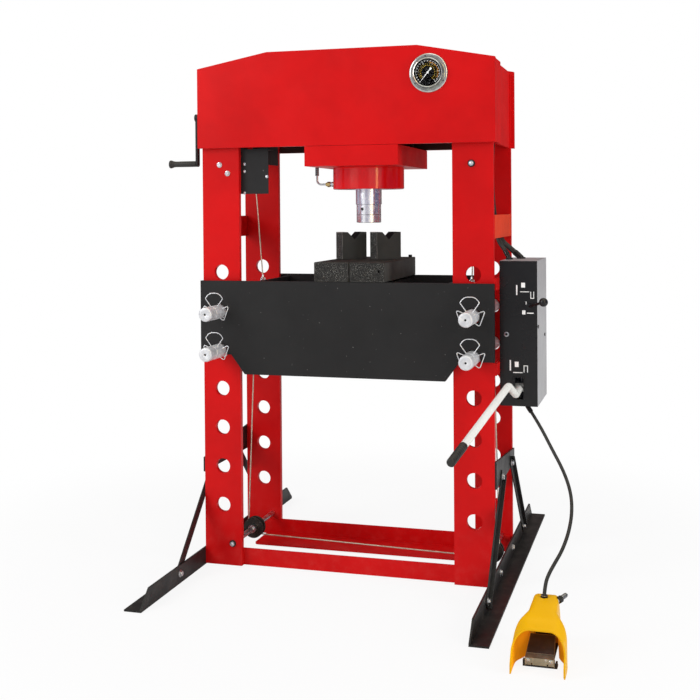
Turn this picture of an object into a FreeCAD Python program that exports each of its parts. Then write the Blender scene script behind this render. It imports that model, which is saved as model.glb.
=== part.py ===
# Hydraulic shop press, floor standing, with a movable cylinder and an adjustable bed.
# Millimetres, +Z up. The origin is on the floor, midway between the columns and
# midway between the front and rear column bars. The front of the press faces -Y.
import FreeCAD, Part
import math
import os

V = FreeCAD.Vector
X_AXIS, Y_AXIS, Z_AXIS = V(1, 0, 0), V(0, 1, 0), V(0, 0, 1)

# ---- driving dimensions -------------------------------------------------------------
# columns: four flat bars on edge, drilled in rows for the bed pins
COLUMN_SPACING = 915.0
COLUMN_WIDTH = 140.0
BAR_T = 20.0
FRAME_DEPTH = 440.0
COLUMN_BOTTOM = 3.0
COLUMN_TOP = 1780.0
HOLE_PITCH = 140.0
HOLE_D = 54.0
HOLE_FIRST_Z = 221.0
HOLE_ROWS = 7
COLUMN_X = COLUMN_SPACING / 2
OUTER_X = COLUMN_X + COLUMN_WIDTH / 2
BAR_OUT_Y = FRAME_DEPTH / 2
BAR_IN_Y = BAR_OUT_Y - BAR_T

# crown: two plates outside the columns
CROWN_T = 20.0
CROWN_HALF = 538.0
CROWN_BOTTOM = 1507.0
CROWN_CORNER = 1792.0
CROWN_TOP = 1842.0
CROWN_FLAT = 272.0
STRIP_BACK_Y = 106.0
CROWN_OUT_Y = BAR_OUT_Y + CROWN_T
RIB_X, RIB_BOTTOM = 244.0, 1655.0

# bed: two deep plates outside the columns, held by four pins
BED_T = 18.0
BED_HALF = 531.0
BED_TOP = 1031.0
BED_BOTTOM = 698.0
TAB_BOTTOM = 767.0
CHAMFER_OUT_X = 414.0
CHAMFER_IN_X = 363.0
BED_OUT_Y = CROWN_OUT_Y
BED_IN_Y = BED_OUT_Y - BED_T
PIN_D = 50.0
PIN_FRONT_Y = -375.0
PIN_BACK_Y = 250.0
BAIL_BACK, CLIP_BACK, WIRE_D = 84.0, 100.0, 3.2
PIN_UPPER_Z = HOLE_FIRST_Z + 5 * HOLE_PITCH
PIN_LOWER_Z = HOLE_FIRST_Z + 4 * HOLE_PITCH

# cylinder, its carriage and the ram, standing off centre
CYLINDER_X = 35.0
CARRIAGE_HALF = 168.0
CARRIAGE_BOTTOM = 1436.0
CARRIAGE_TOP = 1506.0
COLLAR_D = 260.0
COLLAR_BOTTOM = 1357.0
BARREL_D = 170.0
BORE_D = 125.0
BARREL_TOP = 1735.0
ROD_D = 95.0
ROD_STEP_Z = 1302.0
NOSE_D = 90.0
NOSE_BOTTOM = 1235.0
PISTON_H = 57.0
HEAD_T = 30.0
HEAD_GAP = 8.0
SPIGOT_D, SPIGOT_H = 60.0, 40.0
GLAND_H = 30.0
PORT_X = -163.0
PORT_Z = COLLAR_BOTTOM + 20
RUN_FIT = 0.05
RAIL_Z = 1560.0
RAIL_H = 12.0
RAIL_DEPTH = 25.0

# pressure gauge
GAUGE_X, GAUGE_Z = 312.0, 1745.0
GAUGE_FLANGE_D = 134.0
GAUGE_CASE_D = 100.0
DIAL_D = 91.0
GAUGE_RIM = 19.0

# loose tooling on the bed
PLATE_TOP = 1100.0
REST_GAP = 0.3
PLATE_Y = 240.0
V_TURN = 40.0
V_WIDTH, V_DEPTH, V_TOP = 97.0, 60.0, 1200.0
V_GROOVE_HALF, V_GROOVE_DEPTH = 27.0, 27.0

# feet, braces and the base
FOOT_HALF_LENGTH = 740.0
FOOT_LEG, FOOT_FLANGE_OUT, FOOT_T = 62.0, 588.0, 6.0
FOOT_CHAMFER = 62.0
BRACE_TOP = (115.0, 356.0)
BRACE_FOOT = (442.0, 34.0)
BRACE_WEB, BRACE_WEB_T, BRACE_FLANGE, BRACE_END = 34.0, 4.0, 16.0, 17.0
BASE_LEG, BASE_T = 60.0, 6.0
BASE_FLAT_HALF, BASE_FLAT_DEPTH, BASE_CORNER = 440.0, 154.0, 18.0
BOLT_AF, BOLT_H, NUT_H = 17.0, 7.0, 9.0

# lifting gear
SHEAVE_ROPE_R = 24.0
SHEAVE_FLANGE_R = 38.0
ROPE_D = 5.0
SHEAVE_BASE_LEFT = (-422.0, 82.0)
SHEAVE_BASE_RIGHT = (485.0, 62.0)
SHEAVE_TOP_RIGHT = (453.5, 1437.0)
SHAFT_D = 20.0
DRUM_Y, DRUM_Z = -30.5, 1560.0
DRUM_R = 25.0
GEAR_MODULE = 3.0
PINION_TEETH, DRUM_TEETH = 14, 62
CRANK_Y = -123.0
CRANK_ARM_X = -589.0
CRANK_LENGTH = 170.0
DRUM_SHAFT_D, CRANK_SHAFT_D, GRIP_PIN_D = 20.0, 16.0, 9.0
GEAR_X = -362.0
COVER_Y, COVER_T = -196.0, 3.0
COVER_X0, COVER_X1, COVER_Z0, COVER_Z1 = -482.0, -283.0, 1342.0, 1503.0
CHEEK_T, CHEEK_Z0, CHEEK_Z1 = 6.0, 1452.0, 1702.0
CHEEKS_X = (-482.0, -344.0)
WINCH_BOLTS = ((-461.6, 1447.0), (-431.0, 1416.0))
COVER_SCREWS = ((-373.5, 1449.0), (-373.5, 1423.0), (-373.5, 1345.0), (-288.0, 1403.0))
SCREW_H = 2.5

# pump cabinet beside the right column
CAB_X0, CAB_X1 = 535.0, 663.0
CAB_Y = 140.0
CAB_Z0, CAB_Z1 = 608.0, 1104.0
SHEET = 2.0
CAB_BARS = (720.0, 1008.0)
PUMP_PIVOT = (600.0, -108.0, 668.0)
HANDLE_D, GRIP_D = 24.0, 27.0
HANDLE_PEAK = (590.0, -322.0, 705.0)
HANDLE_BREAK = (516.0, -737.0, 589.0)
LEVER_PIVOT = (634.0, 950.0)
PLUNGER_ARM, PLUNGER_D = 38.0, 16.0
LOCK_X, LOCK_Z = 558.0, 853.0
PLUNGER_Y = PUMP_PIVOT[1] + PLUNGER_ARM

# foot pedal
PEDAL_X = 746.0
PEDAL_FRONT, PEDAL_REAR = -900.0, -650.0
TREADLE_PIVOT = (-830.0, 11.0)
TREAD_FRONT, TREAD_REAR, TREAD_LIP = (-838.0, 28.0), (-750.0, 63.0), 4.0
TREAD_HALF_FRONT, TREAD_HALF_REAR = 41.0, 36.0
VALVE_TOP, PEDAL_SOCKET_TOP = 92.0, 152.0
HINGE_D, INLET_D = 6.0, 12.0
HOOD_STATIONS = (
    (-900.0, 76.0, 99.0, 0.5, 47.0), (-845.0, 76.0, 106.0, 0.5, 46.0),
    (-815.0, 75.0, 118.0, 1.0, 40.0), (-798.0, 70.0, 127.0, 2.0, 31.0),
    (-776.0, 58.0, 133.0, 4.0, 23.0), (-752.0, 48.0, 138.0, 6.0, 18.0),
    (-715.0, 47.0, 144.0, 8.0, 14.0), (-650.0, 46.0, 148.0, 9.0, 12.0))

# hoses: diameter, and the route from the elbow on the cabinet up to the crown
PUMP_HOSES = (
    (15.0,
     [(546, -23, 1120), (533, -14, 1141), (515, -2, 1161), (501, 14, 1198), (489, 32, 1248),
      (480, 44, 1312), (475, 48, 1380), (475, 50, 1450), (478, 50, 1518)]),
    (19.0,
     [(575, 47, 1116), (547, 55, 1139), (513, 67, 1166), (491, 80, 1218), (480, 84, 1280),
      (476, 80, 1348), (475, 76, 1418), (477, 74, 1488), (480, 76, 1550)]))
ELBOW_LENGTH = 14.0
HOSE_D = 11.0
GLAND_X, GLAND_Y, GLAND_Z = 622.0, -92.0, 601.0
GLAND_WAY = V(32, -22, -41).normalize()
GLAND_LENGTH = 24.0


# ---- small helpers ------------------------------------------------------------------
def box(x0, x1, y0, y1, z0, z1):
    return Part.makeBox(x1 - x0, y1 - y0, z1 - z0, V(x0, y0, z0))


def rod(centre, axis, diameter, length):
    """A cylinder that starts at centre and runs along axis."""
    return Part.makeCylinder(diameter / 2, length, V(*centre), axis)


def ring(centre, axis, outer, inner, length):
    return rod(centre, axis, outer, length).cut(rod(centre, axis, inner, length))


def plate_xz(outline, y0, y1):
    face = Part.Face(Part.makePolygon([V(x, y0, z) for x, z in outline + outline[:1]]))
    return face.extrude(V(0, y1 - y0, 0))


def plate_yz(outline, x0, x1):
    face = Part.Face(Part.makePolygon([V(x0, y, z) for y, z in outline + outline[:1]]))
    return face.extrude(V(x1 - x0, 0, 0))


def plate_xy(outline, z0, z1):
    face = Part.Face(Part.makePolygon([V(x, y, z0) for x, y in outline + outline[:1]]))
    return face.extrude(V(0, 0, z1 - z0))


def mirror_x(shape):
    return shape.mirror(V(0, 0, 0), X_AXIS)


def mirror_y(shape):
    return shape.mirror(V(0, 0, 0), Y_AXIS)


def group(solids):
    return Part.makeCompound(solids)


def fillet_vertical(shape, radius, keep=lambda edge: True):
    """Round the upright edges that keep() picks."""
    edges = [e for e in shape.Edges if upright(e) and keep(e)]
    return shape.makeFillet(radius, edges)


def upright(edge):
    if len(edge.Vertexes) != 2:
        return False
    a, b = edge.Vertexes[0].Point, edge.Vertexes[1].Point
    return abs(a.x - b.x) < 1e-6 and abs(a.y - b.y) < 1e-6


def rims(shape, radius, z):
    """The full circular edges of one radius at one height."""
    loops = [e for e in shape.Edges if len(e.Vertexes) == 1]
    round_edges = [e for e in loops if isinstance(e.Curve, Part.Circle)]
    sized = [e for e in round_edges if abs(e.Curve.Radius - radius) < 1e-6]
    return [e for e in sized if abs(e.Curve.Center.z - z) < 1e-6]


def hex_head(centre, axis, across, height):
    """A hexagonal bolt head or nut standing on centre along axis."""
    side = axis.cross(Z_AXIS) if abs(axis.z) < 0.9 else V(1, 0, 0)
    up = axis.cross(side)
    corner = across / math.sqrt(3)
    points = []
    for k in range(7):
        turn = math.radians(60 * k + 30)
        points.append(V(*centre) + side * (corner * math.cos(turn)) + up * (corner * math.sin(turn)))
    return Part.Face(Part.makePolygon(points)).extrude(axis * height)


def bent_path(points, radii=None):
    """Straight runs joined by tangent arcs. Each arc is as large as its two runs allow,
    unless radii gives one. Returns the wire and the radii used."""
    points = [V(*p) for p in points]
    edges, used, start = [], [], points[0]
    for k in range(1, len(points) - 1):
        a, p, b = points[k - 1], points[k], points[k + 1]
        u, v = (p - a).normalize(), (b - p).normalize()
        half = u.getAngle(v) / 2
        run = min((p - a).Length, (b - p).Length)
        radius = radii[k - 1] if radii else 0.45 * run / math.tan(half)
        reach = radius * math.tan(half)
        enter, leave = p - u * reach, p + v * reach
        inward = (v - u).normalize()
        middle = p + inward * (radius / math.cos(half) - radius)
        edges.append(Part.LineSegment(start, enter).toShape())
        edges.append(Part.Arc(enter, middle, leave).toShape())
        used.append(radius)
        start = leave
    edges.append(Part.LineSegment(start, points[-1]).toShape())
    return Part.Wire(edges), used


def sweep_round(wire, diameter):
    """A round bar or tube along a wire."""
    first = wire.Edges[0]
    begin = first.valueAt(first.FirstParameter)
    heading = first.tangentAt(first.FirstParameter)
    circle = Part.Wire([Part.makeCircle(diameter / 2, begin, heading)])
    return wire.makePipeShell([circle], True, True)


def report_tube(name, shape, wire, diameter, radii):
    """Print a bent tube's length, tightest bend and how its volume compares."""
    expected = math.pi * (diameter / 2) ** 2 * wire.Length
    smallest = min(radii) if radii else 0.0
    print("%s: length %.1f mm, radii %s, least %.1f, volume ratio %.4f" % (
        name, wire.Length, [round(r) for r in radii], smallest, shape.Volume / expected))


def belt(stops, y):
    """A tight rope in the plane y: stops are (x, z, radius, turn), where turn is +1 for
    counter-clockwise in the XZ plane, -1 for clockwise, and radius 0 is an end."""
    joints = []
    for (x1, z1, r1, s1), (x2, z2, r2, s2) in zip(stops, stops[1:]):
        gap = math.hypot(x2 - x1, z2 - z1)
        heading = math.atan2(z2 - z1, x2 - x1) - math.asin((s2 * r2 - s1 * r1) / gap)
        nx, nz = -math.sin(heading), math.cos(heading)
        joints.append(((x1 - s1 * r1 * nx, z1 - s1 * r1 * nz), (x2 - s2 * r2 * nx, z2 - s2 * r2 * nz)))
    edges = []
    for k, (start, end) in enumerate(joints):
        edges.append(Part.LineSegment(V(start[0], y, start[1]), V(end[0], y, end[1])).toShape())
        if k + 1 < len(joints):
            x, z, radius, turn = stops[k + 1]
            leave = joints[k + 1][0]
            a_in = math.atan2(end[1] - z, end[0] - x)
            a_out = math.atan2(leave[1] - z, leave[0] - x)
            swept = (a_out - a_in) * turn % (2 * math.pi) * turn
            a_mid = a_in + swept / 2
            middle = V(x + radius * math.cos(a_mid), y, z + radius * math.sin(a_mid))
            edges.append(Part.Arc(V(end[0], y, end[1]), middle, V(leave[0], y, leave[1])).toShape())
    return Part.Wire(edges)


def spur_gear(teeth, module, width, bore, first_tooth):
    """A spur gear about X through the origin, from x = 0 to width, with a tooth centred
    at the angle first_tooth in the YZ plane."""
    pitch_r = teeth * module / 2
    profile = ((pitch_r - 1.25 * module, 0.30), (pitch_r, 0.215), (pitch_r + 0.9 * module, 0.11))
    points = []
    for k in range(teeth):
        middle = first_tooth + 2 * math.pi * k / teeth
        for side, rows in ((-1, profile), (1, profile[::-1])):
            for radius, share in rows:
                angle = middle + side * share * 2 * math.pi / teeth
                points.append((radius * math.cos(angle), radius * math.sin(angle)))
    blank = plate_yz(points, 0, width)
    return blank.cut(rod((0, 0, 0), X_AXIS, bore, width))


# ---- frame --------------------------------------------------------------------------
def column(x, y0):
    bar = box(x - COLUMN_WIDTH / 2, x + COLUMN_WIDTH / 2, y0, y0 + BAR_T, COLUMN_BOTTOM, COLUMN_TOP)
    for row in range(HOLE_ROWS):
        z = HOLE_FIRST_Z + row * HOLE_PITCH
        bar = bar.cut(rod((x, y0, z), Y_AXIS, HOLE_D, BAR_T))
    return bar


def crown_outline():
    return [(-CROWN_HALF, CROWN_BOTTOM), (CROWN_HALF, CROWN_BOTTOM), (CROWN_HALF, CROWN_CORNER),
            (CROWN_FLAT, CROWN_TOP), (-CROWN_FLAT, CROWN_TOP), (-CROWN_HALF, CROWN_CORNER)]


def crown_front_plate():
    plate = plate_xz(crown_outline(), -CROWN_OUT_Y, -BAR_OUT_Y)
    return plate.cut(rod((GAUGE_X, -CROWN_OUT_Y, GAUGE_Z), Y_AXIS, GAUGE_CASE_D + 2, CROWN_T))


def crown_rear_plate():
    return plate_xz(crown_outline(), BAR_OUT_Y, CROWN_OUT_Y)


def crown_stiffeners():
    """Upright ribs between the crown plates, and the rails that carry the cylinder."""
    solids = []
    for x in (-RIB_X, RIB_X):
        solids.append(box(x - 6, x + 6, -BAR_OUT_Y, BAR_OUT_Y, RIB_BOTTOM, CROWN_TOP - 14))
    rail_half = 288.0
    for y0 in (-BAR_OUT_Y, BAR_OUT_Y - RAIL_DEPTH):
        solids.append(box(-rail_half, rail_half, y0, y0 + RAIL_DEPTH, RAIL_Z, RAIL_Z + RAIL_H))
    return group(solids)


def side_plates():
    """End plates of the crown with the strips at their front edges, the links lower down
    between front and rear bars, and the two bars that carry the pump cabinet."""
    inset, thick = 3.5, 8.0
    far_end = box(OUTER_X - inset - thick, OUTER_X - inset, -BAR_IN_Y, BAR_IN_Y, CROWN_BOTTOM + 1,
                  CROWN_CORNER - 3)
    shaft_hole = rod((-CROWN_HALF, CRANK_Y, crank_z()), X_AXIS, 24, 30)
    end = mirror_x(far_end).cut(shaft_hole)
    strip = box(OUTER_X, CROWN_HALF - 1, -BAR_OUT_Y, -STRIP_BACK_Y, CROWN_BOTTOM + 1, CROWN_CORNER - 3)
    link = box(OUTER_X - thick, OUTER_X, -BAR_IN_Y, BAR_IN_Y, 1182, 1262)
    solids = [end, far_end, strip, mirror_x(strip).cut(shaft_hole), link, mirror_x(link)]
    for z in CAB_BARS:
        solids.append(box(OUTER_X, CAB_X0, -BAR_OUT_Y, BAR_OUT_Y, z, z + 40))
    return group(solids)


def base_bar():
    """Front base angle: an upright leg behind the column feet and a flat leg inward."""
    back_y = -BAR_IN_Y + BASE_T
    upright_leg = box(-OUTER_X + 8, OUTER_X - 8, -BAR_IN_Y, back_y, COLUMN_BOTTOM,
                      COLUMN_BOTTOM + BASE_LEG)
    flat = box(-BASE_FLAT_HALF, BASE_FLAT_HALF, back_y, back_y + BASE_FLAT_DEPTH, COLUMN_BOTTOM,
               COLUMN_BOTTOM + BASE_T)
    flat = fillet_vertical(flat, BASE_CORNER, lambda e: e.Vertexes[0].Point.y > back_y + 1)
    angle = upright_leg.fuse(flat).removeSplitter()
    for x, z in (SHEAVE_BASE_LEFT, SHEAVE_BASE_RIGHT):
        angle = angle.cut(rod((x, -BAR_IN_Y, z), Y_AXIS, SHAFT_D + 2 * RUN_FIT, BASE_T))
    return angle


def base_bars():
    bar = base_bar()
    return group([bar, mirror_y(bar)])


def feet():
    """Two long angles outside the columns: upright leg with cut corners, flat leg out."""
    length = FOOT_HALF_LENGTH
    low = FOOT_T + 2
    outline = [(-length, 0), (length, 0), (length, low), (length - FOOT_CHAMFER, FOOT_LEG),
               (-length + FOOT_CHAMFER, FOOT_LEG), (-length, low)]
    leg = plate_yz(outline, OUTER_X, OUTER_X + FOOT_T)
    flange = box(OUTER_X, FOOT_FLANGE_OUT, -length, length, 0, FOOT_T)
    angle = leg.fuse(flange).removeSplitter()
    return group([angle, mirror_x(angle)])


def brace_brackets():
    """Plates on the outer edges of the columns. Both sides use the same plate, turned
    half round, so the deep end is at the front on the right and at the rear on the left."""
    outline = [(-BAR_OUT_Y, 336), (BAR_OUT_Y, 336), (BAR_OUT_Y, 388), (-BAR_OUT_Y, 430)]
    plate = plate_yz(outline, OUTER_X, OUTER_X + FOOT_T)
    turned = plate.copy()
    turned.rotate(V(0, 0, 0), Z_AXIS, 180)
    return group([plate, turned])


def brace(side_x, front):
    """An angle bar from the bracket down to the foot, on their outer faces. The front
    ones have their flange on the lower edge, the rear ones on the upper."""
    y0, z0 = BRACE_FOOT
    y1, z1 = BRACE_TOP
    length = math.hypot(y0 - y1, z1 - z0) + 2 * BRACE_END
    edge = BRACE_WEB / 2
    web = box(0, BRACE_WEB_T, -BRACE_END, length - BRACE_END, -edge, edge)
    low = -edge if front else edge - BRACE_WEB_T
    flange = box(0, BRACE_FLANGE, -BRACE_END, length - BRACE_END, low, low + BRACE_WEB_T)
    bar = web.fuse(flange).removeSplitter()
    slope = math.degrees(math.atan2(z1 - z0, y0 - y1))
    bar.rotate(V(0, 0, 0), X_AXIS, slope)
    bar.translate(V(OUTER_X + FOOT_T, -y0, z0))
    if not front:
        bar = mirror_y(bar)
    return bar if side_x > 0 else mirror_x(bar)


def braces():
    return group([brace(s, f) for s in (1, -1) for f in (True, False)])


def frame_bolts():
    """Hexagon bolts and nuts of the braces, feet and winch, and small cap screws."""
    solids = []
    plate_x, foot_y, foot_z = OUTER_X + FOOT_T, 150.0, BRACE_FOOT[1]
    for s in (-1, 1):
        right_hand = [hex_head((plate_x + BRACE_WEB_T, s * y, z), X_AXIS, BOLT_AF, BOLT_H)
                      for y, z in (BRACE_TOP, BRACE_FOOT)]
        right_hand.append(hex_head((plate_x, s * foot_y, foot_z), X_AXIS, BOLT_AF, BOLT_H))
        right_hand.append(hex_head((OUTER_X, s * BRACE_FOOT[0], foot_z), -X_AXIS, BOLT_AF, NUT_H))
        solids += right_hand + [mirror_x(bolt) for bolt in right_hand]
    for x, z in WINCH_BOLTS:
        solids.append(hex_head((x, -BAR_OUT_Y, z), -Y_AXIS, 13, 7))
    solids.append(rod((LOCK_X, -CAB_Y - SHEET - 3, LOCK_Z), Y_AXIS, 15, 3))
    for x, z in COVER_SCREWS:
        solids.append(rod((x, COVER_Y - COVER_T - SCREW_H, z), Y_AXIS, 7, SCREW_H))
    return group(solids)


# ---- bed ----------------------------------------------------------------------------
def bed_plate(y0):
    outline = [(-BED_HALF, TAB_BOTTOM), (-CHAMFER_OUT_X, TAB_BOTTOM), (-CHAMFER_IN_X, BED_BOTTOM),
               (CHAMFER_IN_X, BED_BOTTOM), (CHAMFER_OUT_X, TAB_BOTTOM), (BED_HALF, TAB_BOTTOM),
               (BED_HALF, BED_TOP), (-BED_HALF, BED_TOP)]
    plate = plate_xz(outline, y0, y0 + BED_T)
    for x in (-COLUMN_X, COLUMN_X):
        plate = plate.cut(rod((x, y0, PIN_UPPER_Z), Y_AXIS, HOLE_D, BED_T))
        plate = plate.cut(rod((x, y0, PIN_LOWER_Z), Y_AXIS, HOLE_D, BED_T))
        plate = plate.cut(box(x - HOLE_D / 2, x + HOLE_D / 2, y0, y0 + BED_T, TAB_BOTTOM, PIN_LOWER_Z))
    return plate


def bed_cross_members():
    """Four upright plates welded between the bed plates, with a tie bar at each end
    that the lifting ropes pull on."""
    solids = []
    for x in (355, 140):
        web = box(x - 6, x + 6, -BED_IN_Y, BED_IN_Y, BED_BOTTOM + 22, BED_TOP - 8)
        web = web.cut(rod((x - 6, 0, 870), X_AXIS, 150, 12))
        solids.append(web)
        solids.append(mirror_x(web))
    tie = box(361, 432, -34, 34, 986, 996)
    tie = tie.cut(rod((409, 0, 986), Z_AXIS, 12, 10)).cut(rod((380, 0, 986), Z_AXIS, 12, 10))
    solids.append(tie)
    solids.append(mirror_x(tie))
    return group(solids)


def eye_bolt(x, z, up):
    """A ring with a short shank; the ring is in the XZ plane."""
    way = 1 if up else -1
    torus = Part.makeTorus(9, 3, V(x, 0, z + way * 18), Y_AXIS)
    shank = rod((x, 0, z), V(0, 0, way), 11.9, 8)
    neck = rod((x, 0, z + way * 6), V(0, 0, way), 8, 5)
    return torus.fuse(shank).fuse(neck).removeSplitter()


def rope_eyes():
    solids = [eye_bolt(-380, 996, True), eye_bolt(-409, 986, False), eye_bolt(415, 996, True)]
    return group(solids)


# ---- locking pins -------------------------------------------------------------------
def wire_loop(points, radii, diameter):
    wire, _ = bent_path(points, radii)
    return sweep_round(wire, diameter)


def pin(x, z):
    """A turned pin with a rounded head, a groove behind it, a wire bail on top to pull it
    by, and a three-cornered wire clip on each side."""
    head_r, lead = 7.0, 6.0
    body = rod((x, PIN_FRONT_Y, z), Y_AXIS, PIN_D, PIN_BACK_Y - PIN_FRONT_Y)
    ends = [e for e in body.Edges if len(e.Vertexes) == 1]
    front = [e for e in ends if abs(e.Vertexes[0].Point.y - PIN_FRONT_Y) < 1e-6]
    back = [e for e in ends if abs(e.Vertexes[0].Point.y - PIN_BACK_Y) < 1e-6]
    body = body.makeFillet(head_r, front).makeChamfer(lead, back)
    body = body.cut(rod((x, PIN_FRONT_Y, z), Y_AXIS, 7, 12))
    body = body.cut(ring((x, PIN_FRONT_Y + 52, z), Y_AXIS, PIN_D + 2, PIN_D - 3, 2.5))
    radius = PIN_D / 2
    yb = PIN_FRONT_Y + BAIL_BACK
    bail = [(x - 12, yb, z + radius - 4), (x - 32, yb, z + 50), (x - 18, yb, z + 70),
            (x + 18, yb, z + 70), (x + 32, yb, z + 50), (x + 12, yb, z + radius - 4)]
    yt = PIN_FRONT_Y + CLIP_BACK
    wires = [wire_loop(bail, [4, 16, 16, 4], WIRE_D)]
    for way in (1, -1):
        clip = [(x + way * (radius - 4), yt, z + 12), (x + way * 50, yt, z + 24),
                (x + way * 30, yt, z - 30), (x + way * 14, yt, z - radius + 6)]
        wires.append(wire_loop(clip, [5, 6], WIRE_D))
    solids = [body]
    for w in wires:
        solids.append(w.cut(rod((x, PIN_FRONT_Y, z), Y_AXIS, PIN_D, 400)))
    return group(solids)


# ---- cylinder and ram ---------------------------------------------------------------
def cylinder_carriage():
    block = box(CYLINDER_X - CARRIAGE_HALF, CYLINDER_X + CARRIAGE_HALF, -CROWN_OUT_Y, CROWN_OUT_Y,
                CARRIAGE_BOTTOM, CARRIAGE_TOP)
    return block.cut(rod((CYLINDER_X, 0, CARRIAGE_BOTTOM), Z_AXIS, BARREL_D, 70))


def cylinder_barrel():
    """Collar below the carriage, barrel through it, and a closed head on top."""
    collar = rod((CYLINDER_X, 0, COLLAR_BOTTOM), Z_AXIS, COLLAR_D, CARRIAGE_BOTTOM - COLLAR_BOTTOM)
    barrel = rod((CYLINDER_X, 0, COLLAR_BOTTOM), Z_AXIS, BARREL_D, BARREL_TOP - COLLAR_BOTTOM)
    bore = rod((CYLINDER_X, 0, COLLAR_BOTTOM), Z_AXIS, BORE_D, BARREL_TOP - COLLAR_BOTTOM - HEAD_T)
    body = collar.fuse(barrel).removeSplitter().cut(bore)
    return body.makeChamfer(2, rims(body, COLLAR_D / 2, COLLAR_BOTTOM))


def cylinder_gland():
    return ring((CYLINDER_X, 0, COLLAR_BOTTOM), Z_AXIS, BORE_D, ROD_D + 2 * RUN_FIT, GLAND_H)


def carriage_hanger():
    """A plate that rests on the crown rails with four rods down to the carriage."""
    hang_z = RAIL_Z + RAIL_H + 0.6
    plate = box(CYLINDER_X - 155, CYLINDER_X + 155, -BAR_OUT_Y + 4, BAR_OUT_Y - 4, hang_z, hang_z + 14)
    plate = plate.cut(rod((CYLINDER_X, 0, hang_z), Z_AXIS, BARREL_D, 14))
    solids = [plate]
    for dx in (-125, 125):
        for y in (-160, 160):
            solids.append(rod((CYLINDER_X + dx, y, CARRIAGE_TOP), Z_AXIS, 18, hang_z - CARRIAGE_TOP))
            solids.append(hex_head((CYLINDER_X + dx, y, hang_z + 14), Z_AXIS, 24, 11))
    return group(solids)


def cylinder_port():
    """Adaptor, nut, bent pipe and ferrule of the pressure line on the collar's left."""
    wall = CYLINDER_X - COLLAR_D / 2
    collar = rod((CYLINDER_X, 0, COLLAR_BOTTOM), Z_AXIS, COLLAR_D, 60)
    adaptor = rod((wall + 1, 0, PORT_Z), -X_AXIS, 12, 18).cut(collar)
    shoulder = hex_head((wall - 5, 0, PORT_Z), -X_AXIS, 15, 9)
    nut = hex_head((wall - 17, 0, PORT_Z), -X_AXIS, 17, 17)
    bend, _ = bent_path([(wall - 34, 0, PORT_Z), (PORT_X, 0, PORT_Z), (PORT_X, 0, PORT_Z + 32)], [16])
    pipe = sweep_round(bend, 7)
    ferrule = rod((PORT_X, 0, PORT_Z + 32), Z_AXIS, 14, 40)
    return group([adaptor.fuse(shoulder).removeSplitter(), nut, pipe, ferrule])


def cylinder_hose():
    """The pressure hose from the ferrule up into the crown."""
    z = PORT_Z + 72
    points = [(PORT_X, 0, z), (PORT_X, 0, z + 50), (-168, 12, z + 100), (-173, 34, z + 144),
              (-170, 66, z + 176)]
    wire, radii = bent_path(points)
    tube = sweep_round(wire, 12)
    report_tube("cylinder_hose", tube, wire, 12, radii)
    return tube


def piston_rod():
    """Rod with the piston at its upper end and a spigot for the nose at its lower end."""
    retracted = BARREL_TOP - HEAD_T - HEAD_GAP - PISTON_H
    shaft = rod((CYLINDER_X, 0, ROD_STEP_Z), Z_AXIS, ROD_D, retracted - ROD_STEP_Z)
    piston = rod((CYLINDER_X, 0, retracted), Z_AXIS, BORE_D - 2 * RUN_FIT, PISTON_H)
    spigot = rod((CYLINDER_X, 0, ROD_STEP_Z - SPIGOT_H), Z_AXIS, SPIGOT_D - 2 * RUN_FIT, SPIGOT_H)
    return shaft.fuse(piston).fuse(spigot).removeSplitter()


def ram_nose():
    """The hardened nose: a groove round it, and a cross hole for its grub screw."""
    height = ROD_STEP_Z - NOSE_BOTTOM
    nose = rod((CYLINDER_X, 0, NOSE_BOTTOM), Z_AXIS, NOSE_D, height)
    nose = nose.cut(rod((CYLINDER_X, 0, ROD_STEP_Z - SPIGOT_H), Z_AXIS, SPIGOT_D, SPIGOT_H))
    nose = nose.cut(ring((CYLINDER_X, 0, NOSE_BOTTOM + 28), Z_AXIS, NOSE_D + 2, NOSE_D - 2, 2))
    turn = math.radians(-107)
    out = V(math.cos(turn), math.sin(turn), 0)
    mouth = V(CYLINDER_X, 0, ROD_STEP_Z - 17) + out * (NOSE_D / 2 + 1)
    nose = nose.cut(Part.makeCylinder(4, 14, mouth, out * -1))
    return nose.makeChamfer(1.5, rims(nose, NOSE_D / 2, NOSE_BOTTOM))


# ---- gauge --------------------------------------------------------------------------
def gauge_case():
    """Flange, cup behind the crown plate, and the rim, with three screws."""
    face_y = -CROWN_OUT_Y
    flange = ring((GAUGE_X, face_y - 3, GAUGE_Z), Y_AXIS, GAUGE_FLANGE_D, GAUGE_CASE_D, 3)
    cup = rod((GAUGE_X, face_y - GAUGE_RIM, GAUGE_Z), Y_AXIS, GAUGE_CASE_D, GAUGE_RIM + 43)
    cup = cup.cut(rod((GAUGE_X, face_y - GAUGE_RIM, GAUGE_Z), Y_AXIS, DIAL_D + 1, GAUGE_RIM + 40))
    body = flange.fuse(cup).removeSplitter()
    solids = [body]
    reach = (GAUGE_FLANGE_D + GAUGE_CASE_D) / 4
    for degrees in (90, 210, 330):
        turn = math.radians(degrees)
        x, z = GAUGE_X + reach * math.cos(turn), GAUGE_Z + reach * math.sin(turn)
        solids.append(rod((x, face_y - 5.4, z), Y_AXIS, 8, 2.4))
    return group(solids)


def gauge_dial():
    y = -CROWN_OUT_Y - GAUGE_RIM + 6
    plate = rod((GAUGE_X, y, GAUGE_Z), Y_AXIS, DIAL_D, 1.5)
    return plate.cut(rod((GAUGE_X, y, GAUGE_Z), Y_AXIS, 3.1, 1.5))


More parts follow.
